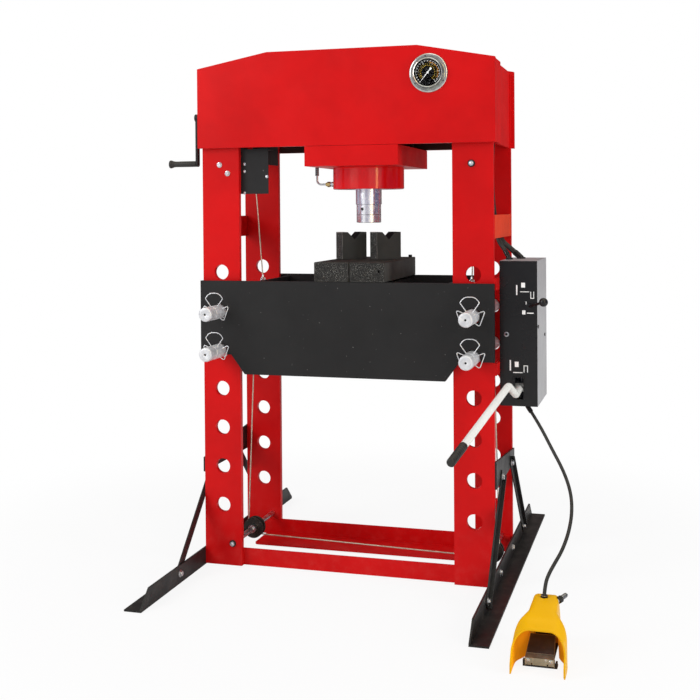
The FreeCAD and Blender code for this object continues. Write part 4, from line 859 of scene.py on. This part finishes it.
for name in PINS:
    low, high = solids(name)[0]
    pin, radius = middle((low, high)), (high.z - low.z) / 2
    half_bail = [(-0.012, radius - 0.004), (-0.033, 0.050), (-0.019, 0.069)]
    bail = wire(pin, low.y + BAIL_BACK, half_bail + [(-x, z) for x, z in reversed(half_bail)],
                [0.004, 0.026, 0.026, 0.004])
    clips = [wire(pin, low.y + CLIP_BACK, [(s * (radius - 0.004), 0.012), (s * 0.050, 0.024),
                                           (s * 0.030, -0.030), (s * 0.014, 0.006 - radius)], [0.004, 0.005])
             for s in (1, -1)]
    body = pin_shape((pin.x, low.y, pin.z), high.y - low.y, radius)
    made = piece(name + "_dressed", joined(body, bail, *clips), pin_zinc, name)
    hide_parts(name)
    # a gloss black lining in the centre hole: painted shade
    hole = turned((pin.x, low.y + 0.0135, pin.z), FRONT,
                  [(0.0037, 0), (0.0037, 0.0090), (0.0030, 0.0110)], 20)
    piece(name + "_centre_hole", hole, gloss_black, name)
print("pins with clips:", len(PINS))

# %% [markdown]
# ## Pressure gauge
# A glycerine gauge has a thin domed flange screwed to the crown, a polished rim round the
# glass, and a black dial. The case is turned in one piece from the back of the flange to the
# inside of the rim.

# %% Gauge case and rim
low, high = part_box("gauge_case")
gauge, flange_r = middle((low, high)), (high.x - low.x) / 2
depth, wall_y = high.y - low.y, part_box("crown_front_plate")[0].y
lip = high.y - wall_y
flange = [(0, 0), (0, 0.0010), (0.0008, 0.0024), (0.0024, 0.0038), (0.0048, 0.0048),
          (0.0078, 0.0050), (0.0104, 0.0042), (0.0124, 0.0026)]  # inward from its edge, off the wall
bezel = [(0.0512, 0.0036), (0.0506, 0.0016), (0.0494, 0.0004), (0.0482, 0), (0.0472, 0.0006),
         (0.0464, 0.0022), (0.0460, 0.0042), (0.0458, 0.0075)]  # radius, behind the front
rows = [(0.049, 0), (0.050, 0.001), (0.050, lip)] + [(flange_r - r, lip + d) for r, d in flange]
rows += [(0.0520, lip + 0.0020), (0.0516, lip + 0.0030)] + [(r, depth - d) for r, d in bezel]
rim = piece("gauge_case_and_rim", turned((gauge.x, high.y, gauge.z), FRONT, rows, 96), rim_chrome,
            sharp=25)
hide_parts("gauge_case")
SCREW_CIRCLE = 0.0590
screws = [(gauge.x + SCREW_CIRCLE * math.cos(t), wall_y - 0.0044, gauge.z + SCREW_CIRCLE * math.sin(t))
          for t in map(math.radians, (100, 218, 332))]
copies("gauge_flange_screws", cap_screw, screws, black, size=0.55)

# %% [markdown]
# ### The dial's print
# A dial is printed: long white strokes for the main steps, short ones between, an amber
# inner scale and plain numbers. Each ring is one stroke copied round the dial.

# %% Dial marks
SWEEP = 140
dial_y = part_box("gauge_dial")[0].y


def on_dial(degrees, radius):
    """A place on the dial and the direction outward from its centre."""
    turn = math.radians(degrees)
    way = Vector((math.sin(turn), 0, math.cos(turn)))
    return Vector((gauge.x, dial_y - 0.0002, gauge.z)) + way * radius, way


def dial_ring(name, stroke, wide, long, count, radius, material, first=-SWEEP, last=SWEEP):
    """count + 1 strokes that point outward from a circle on the dial."""
    spots = [on_dial(first + (last - first) * k / count, radius) for k in range(count + 1)]
    copies(name, template(stroke, standing([(wide, 0), (wide, long)], 4)), [place for place, _ in spots],
           material, ways=[way for _, way in spots])


dial_ring("dial_main_strokes", "main_stroke", 0.0008, 0.0046, 20, 0.0375, white_mark_painted_glow)
dial_ring("dial_fine_strokes", "fine_stroke", 0.0003, 0.0016, 100, 0.0405, white_mark_painted_glow)
dial_ring("dial_amber_scale", "amber_stroke", 0.0007, 0.0044, 20, 0.0225, mark_amber)
dial_ring("dial_amber_ring", "amber_dot", 0.0003, 0.0016, 50, 0.0305, mark_amber)
dial_ring("dial_amber_arc", "arc_dash", 0.0007, 0.0012, 56, 0.0352, mark_orange, 8, 118)


def number(value, place, size):
    """A printed number, flat on the dial and facing the front."""
    text = bpy.data.curves.new("number", "FONT")
    text.body, text.size, text.align_x, text.align_y = str(value), size, "CENTER", "CENTER"
    mesh = baked(shown("number", text))
    return ([(place.x + v.co.x, place.y, place.z + v.co.y) for v in mesh.vertices],
            [tuple(face.vertices) for face in mesh.polygons])


numbers = [number(10 * k, on_dial(-SWEEP + 2 * SWEEP * k / 5, 0.0335)[0], 0.0042) for k in range(6)]
piece("dial_numbers", joined(*numbers), white_mark_painted_glow, sharp=0)

# %% [markdown]
# ## Pressure line of the cylinder
# The oil goes in through the side of the collar: a zinc adaptor, a brass union nut, a short
# pipe bent upwards and the crimped end of a hose. The hose has to follow the cylinder when
# it is pushed along the crown; here it is one swept tube that rides on no body.

# %% Cylinder line
low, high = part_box("cylinder_port")
port, wall = Vector((low.x + 0.007, middle((low, high)).y, high.z - 0.072)), high.x
LEFTWARD = (-1, 0, 0)
adaptor = joined(turned((wall, port.y, port.z), LEFTWARD, [(0.006, 0), (0.006, 0.0180)], 24),
                 hex_bar((wall - 0.0045, port.y, port.z), LEFTWARD, 0.0080, 0.0095),
                 swept(rounded([(wall - 0.032, port.y, port.z), port, port + Vector((0, 0, 0.034))],
                               [0.016]), 0.0036, 16))
line = piece("cylinder_port_and_pipe", adaptor, zinc, "carriage")
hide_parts("cylinder_port")
union = turned((wall - 0.0168, port.y, port.z), LEFTWARD,
               [(0.005, 0), (0.0088, 0), (0.0088, 0.011), (0.0068, 0.0125), (0.0068, 0.0165),
                (0.0045, 0.0175)], 48, (1, 2))
piece("cylinder_union_nut", union, brass, "carriage")


def crimped(start, way, radius, length, ribs=5):
    """A hose end pressed on in ribs."""
    rows, pitch = [(radius * 0.8, 0), (radius * 0.97, 0.0006)], (length - 0.003) / ribs
    for k in range(ribs):
        at = 0.0012 + k * pitch
        rows += [(radius * share, at + part * pitch)
                 for share, part in ((1, 0.1), (1, 0.6), (0.9, 0.72), (0.9, 0.9))]
    return turned(start, way, rows + [(radius, length - 0.0008), (radius * 0.8, length)], 32)


piece("cylinder_hose_end", crimped(port + Vector((0, 0, 0.032)), UP, 0.0070, 0.040), pump_iron,
      "carriage")
low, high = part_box("cylinder_hose")
start, end = (port.x, 0, low.z), (port.x - 0.007, high.y - 0.006, high.z - 0.003)
route = [start, (port.x, 0, low.z + 0.050), (port.x - 0.005, 0.012, low.z + 0.100),
         (port.x - 0.010, 0.034, low.z + 0.144), end]
flexing = piece("cylinder_hose_bending", swept(rounded(route, [0.17, 0.19, 0.11]), 0.006, 20), rubber,
                None)
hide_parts("cylinder_hose")
start[2] + 0.02
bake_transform(flexing)

# %% [markdown]
# ## Ram nose
# The hardened nose is a separate piece on the end of the rod. The joint shows as a fine dark
# line. A second dark line round a turned groove is painted shade, and a black disc in the
# cross hole is painted shade for the hole.

# %% Ram lines and the cross hole's painted shade
def hoop(radius, wire_r, centre=(0, 0, 0), steps=48, section=10):
    """A closed ring of round wire that lies level."""
    line = [Vector(centre) + Vector((math.cos(t), math.sin(t), 0)) * radius for t in angles(steps)]
    return swept(line, wire_r, section, True)


low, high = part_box("ram_nose")
nose_r, nose_top = (high.x - low.x) / 2, Vector((middle((low, high)).x, 0, high.z))
# a dark line at the joint, and one at the groove that is painted shade
lines = joined(hoop(nose_r + 0.0004, 0.0011, nose_top, 72, 8),
               hoop(nose_r - 0.0002, 0.0009, (nose_top.x, 0, low.z + 0.029), 72, 8))
piece("ram_joint_and_groove_lines", lines, pump_iron, "ram")
# a black disc in the cross hole: painted shade
CROSS_HOLE_TURN = math.radians(-107)
out = Vector((math.cos(CROSS_HOLE_TURN), math.sin(CROSS_HOLE_TURN), 0))
hole_disc = turned(nose_top + out * (nose_r - 0.004) - Vector((0, 0, 0.017)), out,
              [(0.0056, 0), (0.0056, 0.0044), (0.0048, 0.0048)], 24)
piece("ram_grub_screw", hole_disc, gloss_black, "ram")

# %% [markdown]
# ## Pump cabinet's hose elbows
# Two hoses leave the cabinet's roof through black elbows. Each is a hexagon foot, a short
# bent tube and the crimped end of its hose.

# %% Elbows and hose ends
ROOF_Z, ELBOW_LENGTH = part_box("cabinet_shell")[1].z, 0.014
HOSE_FEET = {  # diameter, start of the hose and the next point of its route
    "small": (0.015, Vector((0.546, -0.023, 1.120)), Vector((0.533, -0.014, 1.141))),
    "large": (0.019, Vector((0.575, 0.047, 1.116)), Vector((0.547, 0.055, 1.139)))}
for name, (thick, begin, after) in HOSE_FEET.items():
    way = (after - begin).normalized()
    knee = begin - way * ELBOW_LENGTH
    foot = (knee.x, knee.y, ROOF_Z)
    elbow = joined(hex_bar(foot, UP, thick / 2 + 0.0045, 0.006),
                   swept(rounded([foot, knee, begin + way * 0.002], [0.006]), thick / 2 + 0.0008, 24),
                   crimped(begin - way * 0.001, way, thick / 2 + 0.0016, 0.019, 4))
    piece("elbow_" + name + "_hose", elbow, gloss_black)

# %% [markdown]
# ## Pump cabinet's front
# The front has a small round lock, a rim round the handle's slot, and a few plain white bars
# and blocks. They stand for a printed operating diagram without any words.

# %% Lock, slot rim and marks
panel_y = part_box("cabinet_panel")[0].y
lock_body = turned((lock.x, panel_y, lock.z), FRONT,
                   [(0.0088, 0), (0.0088, 0.0012), (0.0078, 0.0026), (0.0052, 0.0030), (0.0044, 0.0016),
                    (0.0040, 0.0012)], 40)
piece("cabinet_lock", lock_body, zinc)
lock_core = turned((lock.x, panel_y - 0.0010, lock.z), FRONT,
                   [(0.0042, 0), (0.0042, 0.0008), (0.0006, 0.0009)], 24)
piece("cabinet_lock_core", lock_core, gloss_black)


def block(low, high, edge=0.0):
    """A box, or with edge a box whose edges are taken off."""
    work = bmesh.new()
    bmesh.ops.create_cube(work, size=1.0)
    for v in work.verts:
        v.co = Vector(low[i] + (v.co[i] + 0.5) * (high[i] - low[i]) for i in range(3))
    if edge:
        bmesh.ops.bevel(work, geom=work.edges[:], offset=edge, segments=2, affect="EDGES")
    index = {v: k for k, v in enumerate(work.verts)}
    shape = [v.co.copy() for v in work.verts], [tuple(index[v] for v in face.verts) for face in work.faces]
    work.free()
    return shape


def on_panel(bars, lift, sunk=0.0, edge=0.0):
    """Flat bars on the cabinet's front: x and z from, x and z to."""
    return joined(*[block((x0, panel_y - lift, z0), (x1, panel_y + sunk, z1), edge)
                    for x0, z0, x1, z1 in bars])


MARKS = [
    (0.5915, 0.988, 0.5960, 1.022), (0.609, 1.014, 0.622, 1.030), (0.605, 0.998, 0.636, 1.0005),
    (0.640, 0.976, 0.6425, 1.000), (0.650, 0.976, 0.6525, 1.000), (0.640, 0.976, 0.6525, 0.9785),
    (0.624, 0.950, 0.627, 0.966), (0.612, 0.922, 0.623, 0.936), (0.628, 0.925, 0.651, 0.9285),
    (0.5685, 0.729, 0.5730, 0.765), (0.586, 0.742, 0.599, 0.760), (0.580, 0.7215, 0.612, 0.7245),
    (0.616, 0.724, 0.6185, 0.748), (0.628, 0.724, 0.6305, 0.748), (0.616, 0.7455, 0.6305, 0.748)]
piece("cabinet_marks", on_panel(MARKS, 0.0004, 0.0001), white_mark_painted_glow, sharp=0)
LEFT, BOTTOM, RIGHT, TOP, RAIL = 0.585, 0.632, 0.615, 0.706, 0.0045
RIM_BARS = [(LEFT - RAIL, BOTTOM - RAIL, LEFT, TOP + RAIL), (RIGHT, BOTTOM - RAIL, RIGHT + RAIL, TOP + RAIL),
            (LEFT, BOTTOM - RAIL, RIGHT, BOTTOM), (LEFT, TOP, RIGHT, TOP + RAIL)]
piece("handle_slot_rim", on_panel(RIM_BARS, 0.0020, 0.0, 0.0006), gloss_black)

# %% [markdown]
# ## Hand parts
# The pump handle ends in a moulded rubber grip with rings for the fingers. The winch crank
# has a black grip that flares at its end so that the hand can't slip off, and the pin that
# it turns on shows at that end.

# %% Grips
GRIP_START, GRIP_R = Vector((0.516, -0.737, 0.589)), 0.0135
rows = [(0.0121, 0.0), (0.0134, 0.0012), (GRIP_R, 0.004)]
for k in range(8):
    at = 0.010 + 0.0115 * k
    rows += [(GRIP_R, at), (GRIP_R - 0.0010, at + 0.0018), (GRIP_R - 0.0010, at + 0.0048),
             (GRIP_R, at + 0.0066)]
rows += [(GRIP_R, 0.106)] + [(r, 0.1065 + d) for r, d in quarter(GRIP_R, 0.005)[1:]]
grip_shape = turned(GRIP_START, GRIP_START - Vector((0.590, -0.322, 0.705)), rows, 40)
grip = piece("pump_handle_grip", grip_shape, rubber, "handle")
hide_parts("handle_grip")

low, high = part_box("crank_grip")
axis, grip_long = middle((low, high)), high.x - low.x
rows = [(0.0080, 0), (0.0100, 0.001), (0.0108, 0.004), (0.0108, 0.060), (0.0105, 0.070), (0.0106, 0.084),
        (0.0118, 0.092)]
rows += [(r, grip_long - d) for r, d in ((0.0142, 0.009), (0.0149, 0.006), (0.0149, 0.003), (0.0140, 0.0008),
                                         (0.0120, 0))]
hand = piece("winch_crank_grip", turned((high.x, axis.y, axis.z), LEFTWARD, rows, 40), rubber,
             "grip")
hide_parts("crank_grip")
pin_head = turned((low.x + 0.0012, axis.y, axis.z), LEFTWARD,
                  [(0.0062, -0.001), (0.0062, 0.0004), (0.0045, 0.0012)], 24)
piece("winch_crank_grip_pin_head", pin_head, zinc, "crank")

# %% [markdown]
# ## Wire ropes
# The bed hangs on galvanised wire rope of 5 mm. Six strands are laid round a core, so the
# rope's outline is a row of slanting lobes: the sweep turns its lobed section once in every
# 32 mm. The route runs straight between tangent points of the wheels.

# %% Rope route
LAY, ROPE_R, STRANDS, STRAND_DEPTH = 0.032, 0.0025, 6, 0.35
SHEAVE_FLANGE = 0.014  # from the rim of a sheave in to the middle of its rope


def wheel(node):
    """Centre of a sheave in x, z, and the radius at which the rope runs in it."""
    centre = middle(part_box(node))
    return Vector((centre.x, centre.z)), rope_reach


def tangent(a, ra, b, rb):
    """Points where a rope leaves circle a and meets circle b. Radii are positive when the
    rope goes round the circle counter-clockwise in x, z, and 0 for a fixed point."""
    along = (b - a).normalized()
    lean = (ra - rb) / (b - a).length
    way = along * lean + Vector((along.y, -along.x)) * math.sqrt(1 - lean * lean)
    return a + way * ra, b + way * rb


def round_wheel(centre, radius, start, end, steps=16):
    a, b = [math.atan2(p.y - centre.y, p.x - centre.x) for p in (start, end)]
    turns = [a + (b - a) % (2 * math.pi) * k / steps for k in range(1, steps)]
    return [centre + Vector((math.cos(t), math.sin(t))) * radius for t in turns]


def laid(points):
    """A rope along (x, z) points, with rows close enough together for its strands to turn."""
    points = [Vector((x, 0, z)) for x, z in points]
    line = [points[0]]
    for a, b in zip(points, points[1:]):
        count = max(1, int((b - a).length / (LAY / 9)))
        line += [a.lerp(b, k / count) for k in range(1, count + 1)]
    return swept(line, ROPE_R, 18, False, STRANDS, STRAND_DEPTH, LAY)


low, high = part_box("sheave_base_left")
rope_reach = (high.x - low.x) / 2 - SHEAVE_FLANGE
stops = [(Vector((-0.409, 0.962)), 0.0), wheel("sheave_base_left"), wheel("sheave_base_right"),
         wheel("sheave_top_right"), (Vector((0.415, 1.020)), 0.0)]
ends = [tangent(*a, *b) for a, b in zip(stops, stops[1:])]
flat = [ends[0][0]]
for (centre, radius), (_, meet), (leave, _) in zip(stops[1:], ends, ends[1:]):
    flat += [meet, *round_wheel(centre, radius, meet, leave), leave]
drum_mid = middle(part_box("winch_drum"))
levelling, hoist = laid(flat + [ends[-1][1]]), laid([(-0.380, 1.020), (-0.420, drum_mid.z)])
ropes = piece("lifting_and_levelling_ropes", joined(levelling, hoist), rope_steel, sharp=180)
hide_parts("lift_ropes")

# %% [markdown]
# ### Rope ends and the drum
# Each rope ends in a thimble round an eye bolt and a pressed sleeve where the rope doubles.
# The rest of the hoisting rope is wound on the drum: one turn of rope, copied along it with
# a slight slant.

# %% Rope ends and rope on the drum
def rope_end(eye, up):
    loop = [eye + Vector((0.0085 * math.sin(t), 0, up * (0.002 - 0.0085 * math.cos(t)))) for t in angles(24)]
    sleeve = turned(eye + Vector((0, 0, up * 0.009)), (0, 0, up),
                    [(0.003, 0), (0.0046, 0.001), (0.0046, 0.010), (0.0030, 0.012)], 24)
    return joined(swept(loop, 0.0022, 10, True), sleeve)


eyes = sorted(solids("rope_eyes"), key=lambda b: b[0].x)
rope_ends = joined(*[rope_end(Vector((middle(b).x, 0, b[1].z - 0.006 if up > 0 else b[0].z + 0.006)), up)
                     for b, up in zip(eyes, (-1, 1, 1))])
piece("rope_thimbles_and_sleeves", rope_ends, zinc)
FIRST_TURN, WIND_R, WIND_PITCH, WIND_TURNS, SLANT = -0.4635, 0.0278, 0.0054, 9, 0.02
turn_of_rope = template("one_turn_of_rope", hoop(WIND_R, ROPE_R))
wound = [(FIRST_TURN + WIND_PITCH * k, drum_mid.y, drum_mid.z) for k in range(WIND_TURNS)]
copies("rope_wound_on_drum", turn_of_rope, wound, rope_steel, "drum", ways=(1, SLANT, 0))

# %% [markdown]
# ## Welds
# The frame is welded from plate and bar. A bead of weld is a row of overlapping ripples, so
# it is one small scale copied along each seam, in the frame's paint. Where a bar is fixed
# from behind, a plug weld leaves a shallow round mark in the face.

# %% Weld beads
WELD_PITCH, PLUG_X, PLUG_Z = 0.0042, 0.404, 0.159
ripple = template("weld_ripple", turned((0, 0, -0.001), UP, [
    (0.0044, 0), (0.0040, 0.0016), (0.0026, 0.0028), (0.0008, 0.0034)], 12))
plug_mark = template("plug_weld", turned((0, 0, -0.0004), UP, [
    (0.0085, 0), (0.0075, 0.0010), (0.0045, 0.0006), (0.0015, 0.0010)], 28))


def seam(name, start, end, way, size=1.0):
    """A bead between two places: ripples of uneven size."""
    start, end = Vector(start), Vector(end)
    count = max(2, int((end - start).length / WELD_PITCH))
    copies(name, ripple, [start.lerp(end, k / count) for k in range(count + 1)], red, ways=way,
           sizes=[size * (0.85 + 0.3 * ((k * 37) % 11) / 11) for k in range(count + 1)],
           spins=[0.9 * k for k in range(count + 1)])


links = [b for b in solids("side_plates") if 0.07 < b[1].z - b[0].z < 0.09]
for k, (low, high) in enumerate(links):
    side = 1 if high.x > 0 else -1
    x = (high.x if side > 0 else low.x) - side * 0.001
    for y, toward, where in ((low.y, 1, "front"), (high.y, -1, "rear")):
        seam("weld_link_%d_%s" % (k, where), (x, y, low.z + 0.004), (x, y, high.z - 0.004),
             (side, 0.5 * toward, 0))
crown_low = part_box("crown_front_plate")[0].z
for key in ("front_left", "front_right", "rear_left", "rear_right"):
    low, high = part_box("column_" + key)
    y, outward = (low.y, -1) if "front" in key else (high.y, 1)
    seam("weld_crown_" + key, (low.x + 0.012, y, crown_low), (high.x - 0.012, y, crown_low),
         (0, outward, -0.8), 0.8)
copies("plug_welds", plug_mark, [(s * PLUG_X, front_bar_y, PLUG_Z) for s in (-1, 1)], red,
       size=0.8)
bed_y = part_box("bed_front_plate")[0].y
BED_PLUGS = [(-0.373, 0.963), (-0.359, 0.920), (-0.359, 0.832), (0.367, 0.963), (0.349, 0.920),
             (0.349, 0.837)]
copies("bed_plug_welds", plug_mark, [(x, bed_y, z) for x, z in BED_PLUGS], black, size=0.55)

# %% [markdown]
# ## Foot pedal's guard
# The guard is moulded in one piece, so its corners are soft: a wide arch in front that
# closes to a narrow housing over the valve. Here it is one grid: each row is the arch at a
# distance behind the mouth, and the mouth itself is cut on a slant. A rolled lip stiffens
# the edge. The inner faces have a finish of their own that glows: a painted glow for the
# light that comes through the yellow plastic.

# %% Arch of the guard
low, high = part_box("pedal_hood")
HOOD_X, HOOD_FRONT, WALL, LIP_R = middle((low, high)).x, low.y, 0.0035, 0.0025
HOOD_ROWS = [  # distance behind the mouth, half width, height, lean of the sides, shoulder
    (0.0, 0.0760, 0.099, 0.0005, 0.047), (0.055, 0.0760, 0.106, 0.0005, 0.046),
    (0.085, 0.0750, 0.118, 0.001, 0.040), (0.102, 0.0700, 0.127, 0.002, 0.031),
    (0.124, 0.0580, 0.133, 0.004, 0.023), (0.148, 0.0480, 0.138, 0.006, 0.018),
    (0.185, 0.0470, 0.144, 0.008, 0.014), (0.242, 0.0460, 0.1475, 0.009, 0.012),
    (0.247, 0.0450, 0.1465, 0.009, 0.011), (0.2497, 0.0420, 0.1435, 0.009, 0.009)]
HOOD_LONG, HOUSING_TOP, ACROSS, BACK = HOOD_ROWS[-1][0], HOOD_ROWS[-3][2], 56, 44
GLOW_MIDDLE = 0.06  # height of the middle of the space under the guard


def row_at(at):
    """The arch at a distance behind the mouth, between two rows."""
    for before, after in zip(HOOD_ROWS, HOOD_ROWS[1:]):
        if at <= after[0]:
            t = min(1.0, max(0.0, (at - before[0]) / (after[0] - before[0])))
            return [a + (b - a) * t for a, b in zip(before[1:], after[1:])]
    return list(HOOD_ROWS[-1][1:])


def eased(at, reach=0.007):
    """The arch averaged over a short way, so that the rows join softly."""
    near = [row_at(min(max(at + reach * k / 2, 0), HOOD_LONG)) for k in (-2, -1, 0, 1, 2)]
    return [sum(values) / 5 for values in zip(*near)]


def arch(half, height, lean, bend, t):
    """A point of the arch. t runs from 0 at the left foot to 1 at the right foot."""
    upright, curve, flat_top = height - bend, bend * math.pi / 2, 2 * (half - lean - bend)
    whole = 2 * upright + 2 * curve + flat_top
    place, side = t * whole, -1
    if place > upright + curve + flat_top / 2:
        place, side = whole - place, 1
    if place < upright:
        return side * (half - lean * place / upright), place
    if place < upright + curve:
        angle = (place - upright) / bend
        return side * (half - lean - bend + bend * math.cos(angle)), upright + bend * math.sin(angle)
    return side * (half - lean - bend - (place - upright - curve)), height


def mouth(z):
    """How far back the slanted mouth is at a height."""
    return max(0.0, (z - 0.012) / 0.118 * 0.083 - 0.011)


# %% [markdown]
# ### The guard's sheet
# The grid is laid out first as a sheet without a thickness. Then it gets its wall, inward,
# so that its outside keeps the size of the model. The lip is a thin rod along the mouth.

# %% Pedal guard
def moulded(work):
    """The sheet with its wall, and with its feet on the floor."""
    if sum(f.normal.z for f in work.faces) < 0:
        bmesh.ops.reverse_faces(work, faces=work.faces)
    bmesh.ops.solidify(work, geom=work.faces[:], thickness=WALL)
    for vert in work.verts:
        vert.co.z = max(vert.co.z, 0)


verts, width = [], ACROSS + 1
for j in range(BACK + 1):
    for i in range(width):
        t, start = i / ACROSS, 0.0
        for _ in range(6):  # the mouth's depth depends on the height, and the height on the depth
            start = mouth(arch(*eased(start), t)[1])
        at = start + (HOOD_LONG - start) * j / BACK
        x, z = arch(*eased(at), t)
        verts.append((HOOD_X + x, HOOD_FRONT + at, z))
corners = [j * width + i for j in range(BACK) for i in range(ACROSS)]
faces = [(a, a + 1, a + 1 + width, a + width) for a in corners]
faces.append(tuple(BACK * width + i for i in range(width)))
mesh = mesh_of("pedal_guard", (verts, faces), change=moulded)
mesh.materials.append(yellow)
mesh.materials.append(yellow_painted_glow)
guard = dress(shown("pedal_guard", mesh), "frame", 50)
print("pedal_guard", len(mesh.polygons), "faces")
# the inner faces take the painted glow
for face in mesh.polygons:
    inward = (HOOD_X - face.center.x) * face.normal.x + (GLOW_MIDDLE - face.center.z) * face.normal.z
    if inward > 0.004 and abs(face.normal.y) < 0.8:
        face.material_index = 1
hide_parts("pedal_hood")
lip_line = [(HOOD_X + (x - HOOD_X) * 0.967, y + 0.0025, max(z - 0.0016, LIP_R)) for x, y, z in verts[:width]]
piece("pedal_guard_lip", swept(lip_line, LIP_R, 10), yellow)

# %% [markdown]
# ## Foot pedal's tread
# The tread is a folded steel plate with a worn lip, three screws, and a black rubber pad on
# top that thins out towards the back. A dark strip under the lip is painted shade for the gap there.

# %% Tread and screws
tread_low, tread_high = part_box("treadle")
tread_x = middle((tread_low, tread_high)).x
screws = [(tread_x + x, tread_front, z) for x, z in ((-0.033, 0.021), (0.031, 0.021), (0.018, 0.0245))]
copies("tread_screws", cap_screw, screws, rim_chrome, "treadle", sizes=[1.15, 1.15, 0.7])
FOLD, FOLD_Z, PAD_HALF = 0.004, 0.028, 0.0375
slope = (tread_high.z - FOLD_Z) / (tread_high.y - tread_front - FOLD)
pad_from, pad_to = tread_front + 0.018, tread_high.y - 0.002


def pad_row(y, lift):
    """Left and right corner of the pad at a distance, lifted off the tread."""
    half = PAD_HALF - 0.004 * (y - pad_from) / (pad_to - pad_from)
    z = FOLD_Z + slope * (y - tread_front - FOLD) + lift
    return [(tread_x - half, y, z), (tread_x + half, y, z)]


pad = [corner for y, lift in ((pad_from, 0.0), (pad_from, 0.0012), (pad_from + 0.001, 0.0018),
                              (pad_to - 0.001, 0.0005), (pad_to, 0.0)) for corner in pad_row(y, lift)]
strips = [(k, k + 1, k + 3, k + 2) for k in (0, 2, 4, 6)]
piece("tread_pad", (pad, strips), tread_black, "treadle", sharp=0)
piece("tread_pad_edge", swept(pad_row(pad_from - 0.0002, 0.0012), 0.0009, 8), lip_steel,
      "treadle")
# a dark strip under the lip: painted shade
gap = block((tread_low.x + 0.008, tread_front - 0.0002, tread_low.z),
            (tread_high.x - 0.008, tread_front + 0.002, tread_low.z + 0.004))
piece("tread_shadow_strip", gap, gloss_black, "treadle")

# %% [markdown]
# ## Foot pedal's air fittings
# The air hose goes into a hexagon socket on top of the guard's housing. The supply is
# screwed on at the side, where a ribbed thread stands free behind its nut.

# %% Air fittings
by_width = sorted(solids("pedal_valve"), key=lambda b: b[1].x - b[0].x)
socket, nipple = by_width[0], by_width[-1]
at = middle(socket)
fitting = joined(hex_bar((at.x, at.y, HOUSING_TOP - 0.002), UP, 0.0105, 0.0035),
                 turned((at.x, at.y, socket[1].z - 0.004), UP,
                        [(0.0100, 0), (0.0102, 0.0030), (0.0080, 0.0046)], 32))
piece("pedal_hose_socket", fitting, gloss_black)
aim = Vector((35, 45, 17)).normalized()
tip = nipple[1] - Vector((0.0049, 0.0037, 0.0055))
thread = [(0.0064, -0.021)] + [(0.0064 + 0.0007 * (k % 2), -0.020 + 0.002 * k) for k in range(9)]
piece("air_inlet_thread", turned(tip, aim, thread + [(0.0060, -0.0015)], 32), pump_iron)
piece("air_inlet_nut", hex_bar(tip - aim * 0.036, aim, 0.0098, 0.013), gloss_black)
